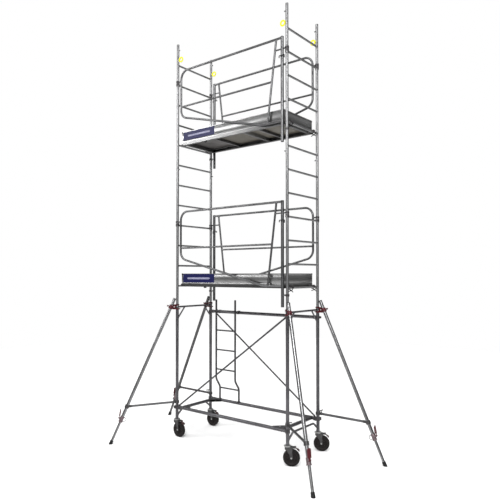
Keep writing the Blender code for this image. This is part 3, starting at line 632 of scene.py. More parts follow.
def bottom_brace():
    shape = Shape()
    z = BRACE_HEIGHT
    reach = HALF_X - 0.026
    for y in (-HALF_Y, HALF_Y):
        shape.tube([(-reach, y, z), (reach, y, z)], POST, 28)
    for x in (-0.83, 0.83):
        shape.tube([(x, -HALF_Y, z), (x, HALF_Y, z)], POST, 28)
        for y in (-HALF_Y, HALF_Y):
            way = (0, -math.copysign(1, y), 0)
            shape.weld((x, y, z), X, POST, way, POST, 0.0034, 26)
    piece("bottom_brace_tubes", shape, BASE, replaced=["bottom_brace_frame"])
    plates, claws = Shape(), Shape()
    for side_x, side_y in CORNERS.values():
        x, y = side_x * 0.83, side_y * HALF_Y
        inner_x, inner_y = x - side_x * 0.14, y - side_y * 0.14
        start = 0.01
        outline = [(x - side_x * start, y - side_y * start), (inner_x, y - side_y * start)]
        outline += [(inner_x + side_x * 0.004, y - side_y * 0.034)]
        outline += [(x - side_x * 0.034, inner_y + side_y * 0.004)]
        outline += [(x - side_x * start, inner_y)]
        holes = [(x - side_x * 0.062, y - side_y * 0.062, 0.012)]
        for level in (-0.0165, 0.0165):
            place = moved(0, 0, z + level)
            plates.plate(outline, place, 0.004, holes)
        ear = (side_x * 0.5, side_y * 0.86, 0)
        coupler(claws, (side_x * HALF_X, y, z), Z, ear, 0.029, 0.0213, 0.046)
    piece("bottom_brace_corner_plates", plates, BASE)
    piece("bottom_brace_claws", claws, CAST)


def rear_beam():
    z = BEAM_HEIGHT
    shape = Shape()
    shape.tube([(-HALF_X + 0.026, HALF_Y, z), (HALF_X - 0.026, HALF_Y, z)], POST, 28)
    piece("rear_beam_tube", shape, BASE, replaced=["rear_beam"])
    claws = Shape()
    for side in (-1, 1):
        coupler(claws, (side * HALF_X, HALF_Y, z), Z, (side * 0.8, 0.6, 0), 0.029, 0.0213, 0.032)
        claws.collar((side * (HALF_X - 0.045), HALF_Y, z), X, 0.024, 0.0205, 0.03)
    piece("rear_beam_claws", claws, CAST)


def brace_hook(shape, centre, axis, slope_end, tube_radius):
    """The open hook at the end of a brace, with its sprung latch."""
    centre, axis, slope_end = Vector(centre), Vector(axis), Vector(slope_end)
    shape.collar(centre, axis, 0.0275, 0.0214, 0.02)
    out = slope_end - centre
    out -= axis * out.dot(axis)
    out.normalize()
    across = axis.cross(out)
    place = Matrix((out, axis, across)).transposed().to_4x4()
    place.translation = centre
    outline = [(0.024, -0.01), (0.04, -0.0075), (0.04, 0.0075), (0.024, 0.01)]
    shape.plate(outline, place, tube_radius * 1.2)
    latch = centre - out * 0.0275
    shape.lathe(latch, axis, [(0.0045, -0.0145), (0.0045, 0.0145)], 12)
    shape.bolt(latch + axis * 0.0145, axis, 0.009, 0.004)


def diagonals():
    ends = {
        "front": ((HALF_X, -HALF_Y, 1.715), (-0.87, -HALF_Y, BRACE_HEIGHT), Z),
        "rear": ((-0.8, HALF_Y, BEAM_HEIGHT), (0.87, HALF_Y, BRACE_HEIGHT), X),
    }
    for side, (head, foot, head_axis) in ends.items():
        head, foot = Vector(head), Vector(foot)
        slope = (foot - head).normalized()
        if head_axis == Z:
            start = head + Vector((math.copysign(0.033, slope.x), 0, -0.004))
        else:
            start = head + Vector((math.copysign(0.004, slope.x), 0, -0.034))
        end = foot + Vector((-math.copysign(0.006, slope.x), 0, 0.034))
        shape = Shape()
        shape.tube([start, end], BRACE_TUBE, 18)
        piece(f"{side}_diagonal_tube", shape, DARK, replaced=[f"{side}_diagonal_brace"])
        hooks = Shape()
        brace_hook(hooks, head, head_axis, start, BRACE_TUBE)
        brace_hook(hooks, foot, X, end, BRACE_TUBE)
        piece(f"{side}_diagonal_hooks", hooks, CAST)


def access_ladder():
    stiles = (-0.732, -0.376)
    shape, hooks = Shape(), Shape()
    for x in stiles:
        line = [(x, HALF_Y, 0.424), (x, HALF_Y, 0.6), (x, LADDER_Y, 0.72), (x, LADDER_Y, 1.86)]
        shape.tube(bent(line, 0.09), LADDER_TUBE, 20, open_end=0.03, wall=0.002)
        spot = (x, LADDER_Y, BEAM_HEIGHT)
        shape.tube([spot, (x, HALF_Y - 0.024, BEAM_HEIGHT)], 0.0095, 14)
        shape.weld(spot, Z, LADDER_TUBE, Y, 0.0095, 0.0022, 16)
        for z, start, stop in ((BRACE_HEIGHT, -60, 150), (BEAM_HEIGHT, 30, 230)):
            section = fan((0, 0), 0.0285, start, stop, 14)
            section += fan((0, 0), 0.0216, start, stop, 14)[::-1]
            rings = [[(x + dx, HALF_Y + y, z + h) for y, h in section] for dx in (-0.016, 0.016)]
            hooks.shell(rings)
    for number in range(5):
        z = 0.58 + PITCH * number
        y = HALF_Y if z < 0.6 else LADDER_Y
        shape.tube([(stiles[0], y, z), (stiles[1], y, z)], BRACE_TUBE, 16)
        for x, way in ((stiles[0], 1), (stiles[1], -1)):
            shape.weld((x, y, z), Z, LADDER_TUBE, (way, 0, 0), BRACE_TUBE, 0.0022, 16)
    piece("access_ladder_tubes", shape, DARK, replaced=["access_ladder"])
    piece("access_ladder_hooks", hooks, CAST)


def clips():
    for corner, (side_x, side_y) in CORNERS.items():
        shape = Shape()
        centre = Vector((side_x * (HALF_X - 0.06), side_y * HALF_Y, 5.215))
        band = [(0.0205, -0.0035), (0.022, -0.005), (0.0335, -0.005), (0.036, -0.003)]
        band += [(0.036, 0.003), (0.0335, 0.005), (0.022, 0.005), (0.0205, 0.0035)]
        shape.lathe(centre, Y, band, 36, closed=True)
        lip = circle(centre, Vector(X), Vector(Z), 0.03, 36)
        shape.ring_bead(lip, 0.0092, 14)
        stub = [centre + Vector((side_x * reach, 0, 0)) for reach in (0.033, 0.0428)]
        shape.tube(stub, 0.0055, 14)
        tab = centre + Vector((-side_x * 0.0335, 0, 0))
        shape.box(tab - Vector((0.006, 0.004, 0.01)), tab + Vector((0.006, 0.004, 0.01)), 0.002)
        node = "frame_clip_" + corner
        piece(node + "_ring", shape, YELLOW, replaced=[node])


# ---- platforms ------------------------------------------------------------------------------
def extrusion_x(shape, section, x_low, x_high):
    """A bar along X with a section of (y, z) points."""
    shape.shell([[(x, y, z) for y, z in section] for x in (x_low, x_high)])


def platform(level, z):
    node = f"{level}_platform_deck"
    here = TOWER @ moved(0, 0, z)
    beams = Shape()
    for side in (-1, 1):
        outer, inner = side * 0.3116, side * 0.272
        groove = side * 0.0018
        section = [(outer, -0.007), (outer, 0.004), (outer - groove, 0.0055)]
        section += [(outer - groove, 0.0085), (outer, 0.01)]
        section += [(outer, 0.0595), (inner, 0.0595), (inner, 0.05), (outer - side * 0.004, 0.048)]
        section += [(outer - side * 0.004, 0.006), (inner, 0.004), (inner, -0.007)]
        extrusion_x(beams, section, -0.8493, 0.8493)
        x = sorted((side * 0.8493, side * 0.812))
        beams.box((x[0], -0.308, -0.006), (x[1], 0.308, 0.0575), 0.0012)
        for y in (-0.29, -0.1, 0.1, 0.29):
            beams.bolt((side * 0.812, y, 0.01), (-side, 0, 0), 0.013, 0.005)
    # the beams take the darker aluminium: painted shade under the toe boards
    piece(f"{level}_platform_beams", beams, SHADED_BEAM, matrix=here, replaced=[node])
    ribs = Shape()
    for x in (-0.315, 0.42):
        ribs.box((x - 0.0125, -0.3, 0.004), (x + 0.0125, 0.3, 0.0405), 0.001)
    piece(f"{level}_platform_cross_beams", ribs, RAIL, matrix=here)
    strips = Shape()
    for x in (0.188, 0.212):
        strips.box((x - 0.0045, -0.3, -0.003), (x + 0.0045, 0.3, 0.0405), 0.001)
    piece(f"{level}_platform_centre_strips", strips, ALLOY, matrix=here)
    panel = Shape()
    panel.box((-0.3145, -0.275, 0.0405), (0.812, 0.275, 0.053), 0.0008)
    piece(f"{level}_platform_panel", panel, PANEL, matrix=here)
    ledge = Shape()
    ledge.box((-0.812, 0.264, 0.028), (-0.33, 0.29, 0.0405), 0.0008)
    piece(f"{level}_hatch_ledge", ledge, ALLOY, matrix=here)
    platform_claws(level, here)
    toe_boards(level, here)
    hatch(level, here)


def platform_claws(level, here):
    """Cast hooks over the rungs and the locks that keep the wind from lifting the deck."""
    claws = Shape()
    for side in (-1, 1):
        for y in (-0.245, 0.245):
            centre = side * HALF_X
            outline = [(0.829, -0.006), (0.9045, -0.006), (0.9062, 0.004)]
            outline += fan((HALF_X, 0), 0.0139, 165, 15, 10)
            outline += [(0.9338, 0.004), (0.9338, -0.006), (0.944, -0.006), (0.9445, 0.014)]
            outline += [(0.938, 0.026), (0.926, 0.03), (0.905, 0.03)]
            outline += [(0.886, 0.024), (0.829, 0.024)]
            place = UPRIGHT
            if side < 0:
                place = Matrix.Rotation(math.pi, 4, "Z") @ place
            place = moved(0, y, 0) @ place
            claws.plate(outline, place, 0.019, bevel=0.0012)
            rivet = [(0.006, 0.009), (0.006, 0.0125)]
            claws.lathe((centre, y, 0.022), (0, math.copysign(1, y), 0), rivet, 14)
    piece(f"{level}_platform_claws", claws, CAST, matrix=here)
    locks = Shape()
    for side_y in (-1, 1):
        y = side_y * 0.2615
        latch = bent([(0.872, y, 0.006), (0.889, y, -0.008), (0.948, y, -0.05)], 0.006)
        locks.tube(latch, 0.005, 12)
        trigger = bent([(0.878, y, -0.046), (0.936, y, -0.026), (0.95, y, 0.002)], 0.01)
        locks.tube(trigger, 0.005, 12)
        boss = [(0.011, -0.007), (0.012, -0.006), (0.012, 0.007), (0.01, 0.008)]
        locks.lathe((0.892, y, -0.012), (0, side_y, 0), boss, 18)
        locks.lathe((0.914, y, -0.031), (0, side_y, 0), [(0.0085, -0.007), (0.0085, 0.007)], 16)
    locks.box((-0.46, -0.3, -0.022), (-0.428, -0.276, -0.0075), 0.002)
    piece(f"{level}_wind_locks", locks, BLACK, matrix=here)


def toe_boards(level, here):
    """Four folded sheets with a hemmed top edge, corner hooks and a plain coloured plate."""
    boards, hem = Shape(), Shape()
    x, y, low, high = 0.8497, 0.3122, 0.028, 0.171
    thick = 0.0055

    def sheet(shape, start, end, out):
        """One board from start to end (x, y) with its outward direction."""
        start, end, out = Vector((*start, 0)), Vector((*end, 0)), Vector((*out, 0))
        up = Vector(Z)
        profile = [(0.0, low), (thick, low), (thick, low + 0.018), (thick - 0.0016, low + 0.021)]
        profile += [(thick - 0.0016, low + 0.025), (thick, low + 0.028), (thick, high - 0.028)]
        profile += [(thick - 0.0016, high - 0.025), (thick - 0.0016, high - 0.021)]
        profile += [(thick, high - 0.018)]
        profile += [(thick, high), (-0.0085, high), (-0.0085, high - 0.01), (-0.0065, high - 0.01)]
        profile += [(-0.0065, high - 0.0025), (0.0, high - 0.0025)]
        shape.shell([[p + out * o + up * h for o, h in profile] for p in (start, end)])

    sheet(boards, (-x, -y), (x, -y), (0, -1))
    sheet(boards, (-x, y), (x, y), (0, 1))
    sheet(boards, (-x, -y - thick), (-x, y + thick), (-1, 0))
    sheet(boards, (x, -y - thick), (x, y + thick), (1, 0))
    piece(f"{level}_toe_board_sheets", boards, ALLOY, matrix=here, replaced=[f"{level}_toe_boards"])
    for side_x, side_y in CORNERS.values():
        corner = Vector((side_x * (x + thick), side_y * (y + thick), 0))
        inward = Vector((-side_x, 0, 0))
        a = corner + Vector((side_x * 0.0015, 0, high - 0.022))
        b = corner + inward * 0.016 + Vector((0, side_y * 0.0025, high + 0.003))
        lows = Vector((min(a.x, b.x), min(a.y, b.y), min(a.z, b.z)))
        highs = Vector((max(a.x, b.x), max(a.y, b.y), max(a.z, b.z)))
        hem.box(lows, highs, 0.0008)
        hem.tube([corner + inward * 0.01 + Vector((0, side_y * 0.001, high - 0.02)),
                  corner + inward * 0.01 + Vector((0, side_y * 0.001, high - 0.045))], 0.0035, 10)
    piece(f"{level}_toe_board_corner_hooks", hem, BLACK, matrix=here)
    face = -(y + thick)
    label = Shape()
    label.box((-0.83, face - 0.0012, 0.05), (-0.255, face + 0.0006, 0.1635), 0.0006)
    piece(f"{level}_front_plate", label, BLUE, matrix=here)
    bar = Shape()
    outline = [(-0.735, 0.094), (-0.345, 0.094), (-0.33, 0.1065)]
    outline += [(-0.345, 0.119), (-0.735, 0.119), (-0.75, 0.1065)]
    place = moved(0, face - 0.0014, 0) @ UPRIGHT
    bar.plate(outline, place, 0.0008, bevel=0.0002)
    piece(f"{level}_front_plate_bar", bar, PALE, matrix=here)


def hatch(level, here):
    body = f"hatch_{level}"
    node = f"{level}_platform_hatch"
    panel = Shape()
    panel.box((-0.8, -0.2685, 0.041), (-0.333, 0.2685, 0.053), 0.0008)
    piece(f"{level}_hatch_panel", panel, HATCH, body, here, replaced=[node])
    fittings = Shape()
    for x in HATCH_HINGES:
        fittings.collar((x, HINGE_Y, HINGE_Z), X, 0.007, 0.0037, 0.06, 16, 0.0006)
        fittings.box((x - 0.028, HINGE_Y, 0.0526), (x + 0.028, -0.205, 0.0556), 0.0008)
        for dx, y in ((-0.018, -0.225), (0.018, -0.225), (0.0, -0.238)):
            rivet = [(0.0042, 0.0), (0.0036, 0.0014), (0.0015, 0.0022)]
            fittings.lathe((x + dx, y, 0.0552), Z, rivet, 12)
    middle = -0.5665
    grip = bent([(middle - 0.05, 0.198, 0.05), (middle - 0.05, 0.198, 0.064),
                 (middle + 0.05, 0.198, 0.064), (middle + 0.05, 0.198, 0.05)], 0.01)
    fittings.tube(grip, 0.0038, 12)
    for x in (middle - 0.05, middle + 0.05):
        washer = [(0.0085, 0.0), (0.008, 0.0015), (0.0045, 0.0022)]
        fittings.lathe((x, 0.198, 0.0528), Z, washer, 16)
    piece(f"{level}_hatch_fittings", fittings, ZINC, body, here)
    pins = Shape()
    for x in HATCH_HINGES:
        pins.lathe((x, HINGE_Y, HINGE_Z), X, [(0.0029, -0.043), (0.0029, 0.043)], 12)
        for end in (-0.038, 0.038):
            pins.box((x + end - 0.005, -0.3, 0.059), (x + end + 0.005, -0.266, 0.0622), 0.0008)
            pins.collar((x + end, HINGE_Y, HINGE_Z), X, 0.0062, 0.0026, 0.009, 14, 0.0006)
    piece(f"{level}_hatch_hinge_pins", pins, ZINC, "tower", here)


# ---- guardrails -----------------------------------------------------------------------------
def guardrails():
    tube = Shape()
    tube.tube(rail_line(), RAIL_TUBE, 22)
    tube.weld((RAIL_POST_X, 0, RAIL_TOP), Z, 0.019, (-1, 0, 0), RAIL_TUBE)
    tube.weld((RAIL_POST_X, 0, RAIL_LOW), Z, 0.019, (-1, 0, 0), RAIL_TUBE)
    tube.tube([(RAIL_END_X, 0, RAIL_MIDDLE), (0.699, 0, RAIL_MIDDLE)], 0.0122, 18)
    tube.weld((RAIL_END_X, 0, RAIL_MIDDLE), Z, RAIL_TUBE, X, 0.0122)
    head, foot = Vector((0.764, 0, RAIL_TOP)), Vector((0.635, 0, RAIL_LOW))
    tube.tube([head, foot], 0.0125, 18)
    tube.weld(head, X, RAIL_TUBE, foot - head, 0.0125)
    tube.weld(foot, X, RAIL_TUBE, head - foot, 0.0125)
    tube.weld((0.699, 0, RAIL_MIDDLE), head - foot, 0.0125, (-1, 0, 0), 0.0122)
    tube.tube([(RAIL_POST_X, 0, -0.228), (RAIL_POST_X, 0, 1.03)], 0.019, 24, open_start=0.03)
    caps, grips = Shape(), Shape()
    caps.lathe((RAIL_POST_X, 0, 1.03), Z, [(0.0196, -0.006), (0.0196, 0.002), (0.017, 0.0045)], 24)
    stubs = ((0.748, HALF_X, 0.885), (RAIL_POST_X, HALF_X, -0.085), (RAIL_END_X, -HALF_X, 0.885))
    for start, stile, z in stubs:
        way = math.copysign(1, stile)
        tube.tube([(start, 0, z), (stile - way * 0.0225, 0, z)], 0.0092, 14)
        if start > 0.8 or start < 0:
            host = 0.019 if start > 0 else RAIL_TUBE
            tube.weld((start, 0, z), Z, host, (way, 0, 0), 0.0092, 0.0022, 16)
        grips.collar((stile, 0, z), Z, 0.0248, 0.018, 0.024)
        grips.lathe((stile + way * 0.02, 0, z), Z, [(0.006, -0.0145), (0.006, 0.0145)], 12)
        grips.box((stile - 0.008, -0.0285, z - 0.008), (stile + 0.008, -0.0225, z + 0.008), 0.0015)
    hook = [(0.82, -0.02, 0.775), (0.82, -0.02, 0.8), (0.895, -0.02, 0.8), (0.895, -0.02, 0.765)]
    caps.tube(bent(hook, 0.008), 0.0055, 12)
    caps.tube([(0.851, -0.026, 0.786), (0.851, -0.012, 0.786)], 0.009, 16)
    for level, z in PLATFORMS.items():
        for side, y, turn in (("front", -HALF_Y, 0.0), ("rear", HALF_Y, math.pi)):
            here = TOWER @ moved(0, y, z) @ Matrix.Rotation(turn, 4, "Z")
            name = f"{level}_{side}_guardrail"
            piece(name + "_tubes", tube, RAIL, matrix=here, replaced=[name])
            piece(name + "_grips", grips, CAST, matrix=here)
            piece(name + "_cap", caps, BLACK, matrix=here)


def rail_line():
    """The outer tube of a guardrail, with its real bends."""
    bend = 0.12
    line = [(RAIL_POST_X, RAIL_TOP)]
    line += fan((-0.735, 0.9), bend, 90, 180, 10)
    line += fan((-0.735, 0.472), bend, 180, 256, 8)
    points = [Vector((x, 0, z)) for x, z in line]
    tail = bent([points[-1], (0.565, 0, RAIL_LOW), (RAIL_POST_X, 0, RAIL_LOW)], 0.3, 6)
    return points + tail[1:]


# ---- castors --------------------------------------------------------------------------------
def castor_shapes():
    crown, fork = Shape(), Shape()
    profile = [(0.03, -0.015), (0.043, -0.014), (0.0436, -0.0105), (0.037, -0.0095)]
    profile += [(0.037, -0.0075), (0.0436, -0.0065), (0.0436, -0.0015), (0.04, 0.0)]
    crown.lathe((0, 0, 0), Z, profile, 40)
    leg = [(-0.03, -0.015), (0.058, -0.015), (0.06, -0.019), (0.058, -0.033)]
    leg += [(0.056, -0.07), (0.059, -0.115)]
    leg += fan((TRAIL, DROP), 0.0155, -10, -170, 10)
    leg += [(0.0235, -0.105), (-0.006, -0.06), (-0.031, -0.04), (-0.0325, -0.019)]
    for y in (-0.0306, 0.0306):
        fork.plate(leg, moved(0, y, 0) @ UPRIGHT, 0.004, bevel=0.0008)
    bridge = [(-0.031, -0.0305), (0.059, -0.0305), (0.059, 0.0305), (-0.031, 0.0305)]
    fork.plate(bridge, moved(0, 0, -0.0165), 0.005, bevel=0.0008)
    ear = [(0.048, -0.03), (0.094, -0.03), (0.0985, -0.0255)]
    ear += [(0.0985, -0.0165), (0.094, -0.012), (0.048, -0.015)]
    for y in (-0.0198, 0.0198):
        fork.plate(ear, moved(0, y, 0) @ UPRIGHT, 0.0036, bevel=0.0006)
    axle = Shape()
    axle.lathe((TRAIL, 0, DROP), Y, [(0.006, -0.036), (0.006, 0.036)], 16)
    axle.bolt((TRAIL, -0.0328, DROP), (0, -1, 0), 0.015, 0.0085)
    axle.bolt((TRAIL, 0.0328, DROP), Y, 0.015, 0.0085)
    axle.lathe((0.088, 0, -0.021), Y, [(0.0036, -0.024), (0.0036, 0.024)], 12)
    axle.lathe((0, 0, 0), Z, [(0.0138, -0.004), (0.0138, 0.0855)], 20)
    pedal = Shape()
    pedal.collar((0.088, 0, -0.021), Y, 0.008, 0.0044, 0.032, 18, 0.0008)
    arm = [(0.085, -0.025), (0.129, -0.0575), (0.1325, -0.053), (0.0905, -0.0175)]
    pedal.plate(arm, UPRIGHT, 0.024, bevel=0.001)
    pad = [(0.109, -0.0425), (0.127, -0.0562), (0.1312, -0.0632), (0.1362, -0.0636)]
    pad += [(0.1388, -0.0552), (0.1352, -0.05), (0.114, -0.0342)]
    pedal.plate(pad, UPRIGHT, 0.045, bevel=0.0015)
    for step in range(4):
        x, z = 0.117 + 0.0052 * step, -0.0366 - 0.0041 * step
        pedal.tube([(x, -0.0195, z), (x, 0.0195, z)], 0.0016, 8)
    return crown, fork, axle, pedal


def wheel_shapes():
    """Tyre and hub about the axle."""
    tyre, hub, covers = Shape(), Shape(), Shape()
    half = [(0.07, 0.0185), (0.074, 0.02), (0.08, 0.0222), (0.088, 0.0225), (0.093, 0.0212)]
    half += [(0.097, 0.018), (0.0992, 0.013), (0.0999, 0.007), (0.1, 0.003)]
    tyre.lathe((0, 0, 0), Y, both_sides(half), 56, closed=True)
    face = [(0.0075, 0.0255), (0.018, 0.0255), (0.0195, 0.024), (0.0205, 0.015), (0.027, 0.0125)]
    face += [(0.062, 0.0105), (0.0665, 0.015), (0.07, 0.0196), (0.0745, 0.02)]
    hub.lathe((0, 0, 0), Y, both_sides(face), 56, closed=True)
    for i in range(10):
        angle = math.tau * i / 10
        spin = Matrix.Rotation(angle, 4, "Y")
        rib = Shape()
        for side in (-1, 1):
            y = side * 0.0155
            rib.box((0.019, y - 0.0055, -0.0018), (0.068, y + 0.003, 0.0018), 0.0008)
        hub.copy_from(rib, spin)
    cover = [(0.0072, 0.0), (0.017, 0.0), (0.0172, 0.0016), (0.015, 0.0026), (0.0072, 0.003)]
    for side in (-1, 1):
        covers.lathe((0, side * 0.025, 0), (0, side, 0), cover, 32, closed=True)
    return tyre, hub, covers


def castors():
    crown, fork, axle, pedal = castor_shapes()
    tyre, hub, covers = wheel_shapes()
    for corner in CORNERS:
        spin = Vector(joints["wheel_spin_" + corner]["axis"])
        heading = math.atan2(-spin.x, spin.y)
        here = Matrix.Translation(swivels[corner]) @ Matrix.Rotation(heading, 4, "Z")
        wheel = here @ moved(TRAIL, 0, DROP)
        body = "castor_" + corner
        rolls, tips = "wheel_" + corner, "brake_" + corner
        piece(body + "_fork_plates", fork, FORK, body, here, ["castor_fork_" + corner])
        piece(body + "_swivel_crown", crown, ZINC, body, here)
        piece(body + "_axle_and_stem", axle, ZINC, body, here)
        piece(body + "_brake_pedal", pedal, PEDAL, tips, here, ["castor_brake_" + corner])
        piece(body + "_tyre", tyre, RUBBER, rolls, wheel, ["castor_wheel_" + corner])
        piece(body + "_hub", hub, HUB, rolls, wheel)
        piece(body + "_hub_covers", covers, HUB, rolls, wheel)


# ---- stabilisers ----------------------------------------------------------------------------
def lean():
    return moved(LEG_REACH, 0, TOP_BAR) @ Matrix.Rotation(-TILT, 4, "Y")


def stabilisers():
    leg, sleeve, pull, inner, rubber, lock = (Shape() for _ in range(6))
    leg.tube([(0, 0, -1.634), (0, 0, LEG_TOP)], POST, 28)
    cap = Shape()
    cap.lathe((0, 0, LEG_TOP), Z, [(0.0216, -0.008), (0.0216, 0.000), (0.019, 0.002)], 28)
    low = -1.646
    profile = [(0.0182, 0.0), (0.0288, 0.0), (0.03, 0.002), (0.03, 0.008), (0.0285, 0.01)]
    profile += [(0.0256, 0.0125), (0.0262, 0.072), (0.0245, 0.0765), (0.0206, 0.077)]
    profile += [(0.0206, 0.007), (0.0182, 0.006)]
    sleeve.lathe((0, 0, low), Z, profile, 32, closed=True)
    pivot = Vector(LOCK_PIVOT)
    ear = [(0.018, -0.011), (0.038, -0.011), (0.045, -0.006)]
    ear += [(x, -z) for x, z in reversed(ear)]
    for side in (-1, 1):
        sleeve.plate(ear, moved(0, side * 0.014, pivot.z) @ UPRIGHT, 0.0036, bevel=0.0006)
        spot = pivot + Vector((0, side * 0.016, 0))
        sleeve.lathe(spot, (0, side, 0), [(0.0052, 0.0), (0.0047, 0.0018), (0.002, 0.0026)], 12)
    sleeve.lathe(pivot, Y, [(0.0029, -0.0175), (0.0029, 0.0175)], 12)
    loop = circle(Vector((-0.036, 0, pivot.z)), Vector(X), Vector(Z), 0.025, 30)
    pull.ring_bead(loop, 0.0032, 8)
    pull.collar((-0.0262, 0, pivot.z + 0.0245), Y, 0.0072, 0.0036, 0.012, 14)
    lock_lever(lock)
    inner.tube([(0, 0, -1.91), (0, 0, -1.16)], 0.0168, 24)
    for i in range(5):
        z = -1.68 - 0.043 * i
        for side in (-1, 1):
            inner.collar((0, side * 0.0162, z), (0, side, 0), 0.0056, 0.004, 0.0018, 14, 0.0004)
    ribs = [(0.0168, -1.896), (0.02, -1.897), (0.0215, -1.903)]
    z = -1.906
    for i in range(2):
        ribs += [(0.0225, z), (0.0225, z - 0.005), (0.0208, z - 0.006), (0.0208, z - 0.009)]
        z -= 0.01
    ribs += [(0.0232, z - 0.002), (0.0235, z - 0.005)]
    down = lean()
    floor_cut(rubber, ribs, down)
    clamp, bolts = Shape(), Shape()
    clamp_shapes(clamp, bolts, down)
    strut, strut_clamp = Shape(), Shape()
    strut_shapes(strut, strut_clamp, down)
    for corner in CORNERS:
        slide = Vector(joints["foot_slide_" + corner]["axis"])
        yaw = math.atan2(slide.y, slide.x)
        spot = swivels[corner]
        here = moved(spot.x, spot.y, 0) @ Matrix.Rotation(yaw, 4, "Z")
        line = here @ down
        body, foot = "stabiliser_" + corner, "foot_" + corner
        start = body + "_"
        # painted shade: the rear-left leg and strut take darker steels than the other three
        # corners, standing for the shade on that leg
        tubes, straps = (SHADED_TUBE, CAST) if corner == "rear_left" else (BRIGHT, RAIL)
        piece(start + "outer_tube", leg, tubes, body, line, [f"stabiliser_leg_{corner}"])
        piece(start + "tube_cap", cap, BLACK, body, line)
        piece(start + "lock_sleeve", sleeve, SLEEVE, body, line)
        piece(start + "pull_ring", pull, CAST, body, line)
        turns = "lock_" + corner
        piece(start + "lock_lever", lock, RED, turns, line, ["stabiliser_lock_" + corner])
        piece(start + "inner_tube", inner, tubes, foot, line, ["stabiliser_foot_" + corner])
        piece(start + "rubber_foot", rubber, BLACK, foot, here)
        piece(start + "clamp", clamp, RED, body, here, [f"stabiliser_clamp_{corner}"])
        piece(start + "clamp_bolts", bolts, ZINC, body, here)
        piece(start + "strut_tube", strut, straps, body, here, [f"stabiliser_strut_{corner}"])
        piece(start + "strut_clamps", strut_clamp, FORK, body, here)


def lock_lever(lock):
    """A pressed channel that folds over the tube; at rest it stands a little off the leg."""
    pivot = Vector(LOCK_PIVOT)
    lock.collar(pivot, Y, 0.0078, 0.0034, 0.0224, 18, 0.0008)
    tilt = Matrix.Translation(pivot) @ Matrix.Rotation(math.radians(13), 4, "Y")
    tongue = [(-0.003, 0.004), (0.003, 0.004), (0.0034, 0.03), (-0.003, 0.03)]
    lock.plate(tongue, tilt @ UPRIGHT, 0.0205, bevel=0.0008)
    face = Matrix((Vector(Y), Vector(Z), Vector(X))).transposed().to_4x4()
    half = [(0.0125, 0.02), (0.0213, 0.03), (0.0213, 0.106), (0.0175, 0.1175), (0.009, 0.1215)]
    grip = half + [(-y, z) for y, z in reversed(half)]
    lock.plate(grip, tilt @ moved(0.0022, 0, 0) @ face, 0.0034, bevel=0.001)
    for side in (-1, 1):
        cheek = [(-0.0085, 0.034), (0.003, 0.028), (0.003, 0.112), (-0.005, 0.106)]
        lock.plate(cheek, tilt @ moved(0, side * 0.0199, 0) @ UPRIGHT, 0.0028, bevel=0.0008)


def floor_cut(shape, profile, matrix):
    """A turned foot whose last ring is cut level with the floor."""
    sides = 32
    rings = []
    for radius, along in profile:
        ring = circle(Vector((0, 0, along)), Vector(X), Vector(Y), radius, sides)
        rings.append([matrix @ p for p in ring])
    down = (matrix.to_3x3() @ Vector((0, 0, -1))).normalized()
    for radius, level in ((0.0235, 0.0025), (0.0226, 0.0004)):
        ring = circle(Vector((0, 0, profile[-1][1])), Vector(X), Vector(Y), radius, sides)
        flat = []
        for p in ring:
            p = matrix @ p
            flat.append(p + down * ((p.z - level) / -down.z))
        rings.append(flat)
    shape.shell(rings)


def clamp_shapes(clamp, bolts, down):
    for z, length in ((1.749, 0.018), (1.804, 0.014)):
        clamp.collar((0, 0, z), Z, 0.0285, 0.0214, length, 32)
    web = [(0.0235, 1.741), (0.06, 1.741), (0.074, 1.752)]
    web += [(0.074, 1.8), (0.06, 1.8105), (0.0235, 1.8105)]
    clamp.plate(web, UPRIGHT, 0.0125, [(0.045, 1.776, 0.0075)], 0.0012)
    ring = Shape()
    ring.collar((0, 0, 0), Z, 0.0298, 0.0213, 0.05, 32, 0.0018)
    clamp.copy_from(ring, down)
    for side in (-1, 1):
        ears = [(-0.04, 1.742), (-0.02, 1.742), (-0.02, 1.756), (-0.04, 1.756)]
        clamp.plate(ears, moved(0, side * 0.0075, 0) @ UPRIGHT, 0.0045, bevel=0.0008)
    bolts.bolt((-0.033, 0.0098, 1.749), Y, 0.01, 0.005, 0.02, 0.003)
    bolts.bolt((-0.033, -0.0098, 1.749), (0, -1, 0), 0.01, 0.005)
    root = Vector((0.115, 0, 1.785))
    out = Vector((0.03, 0, 0.012)).normalized()
    bolts.lathe(root, out, [(0.005, -0.008), (0.005, 0.012)], 14)
    knob = [(0.006, 0.01), (0.0105, 0.012), (0.0112, 0.016), (0.0112, 0.026), (0.0095, 0.03)]
    clamp.lathe(root, out, knob, 18)


def strut_shapes(strut, clamps, down):
    z = STRUT_HEIGHT
    end = LEG_REACH + math.tan(TILT) * (TOP_BAR - z)
    along = math.hypot(end - LEG_REACH, TOP_BAR - z)
    strut.tube([(0.03, 0, z), (end - 0.026, 0, z)], 0.0149, 20)
    clamps.collar((0, 0, z), Z, 0.0287, 0.0214, 0.036, 32)
    clamps.tube([(0.024, 0, z), (0.058, 0, z)], 0.0172, 20)
    ring = Shape()
    ring.collar((0, 0, -along), Z, 0.0298, 0.0213, 0.042, 32, 0.0018)
    clamps.copy_from(ring, down)
    clamps.tube([(end - 0.062, 0, z), (end - 0.026, 0, z)], 0.0172, 20)
    clamps.tube([(0.048, 0, z), (0.048, 0, z + 0.042)], 0.0058, 14)
    clamps.tube([(0.048, -0.032, z + 0.042), (0.048, 0.032, z + 0.042)], 0.0058, 14)
    knob = [(0.007, 0.0), (0.0078, 0.003), (0.006, 0.007)]
    for side in (-1, 1):
        clamps.lathe((0.048, side * 0.03, z + 0.042), (0, side, 0), knob, 14)


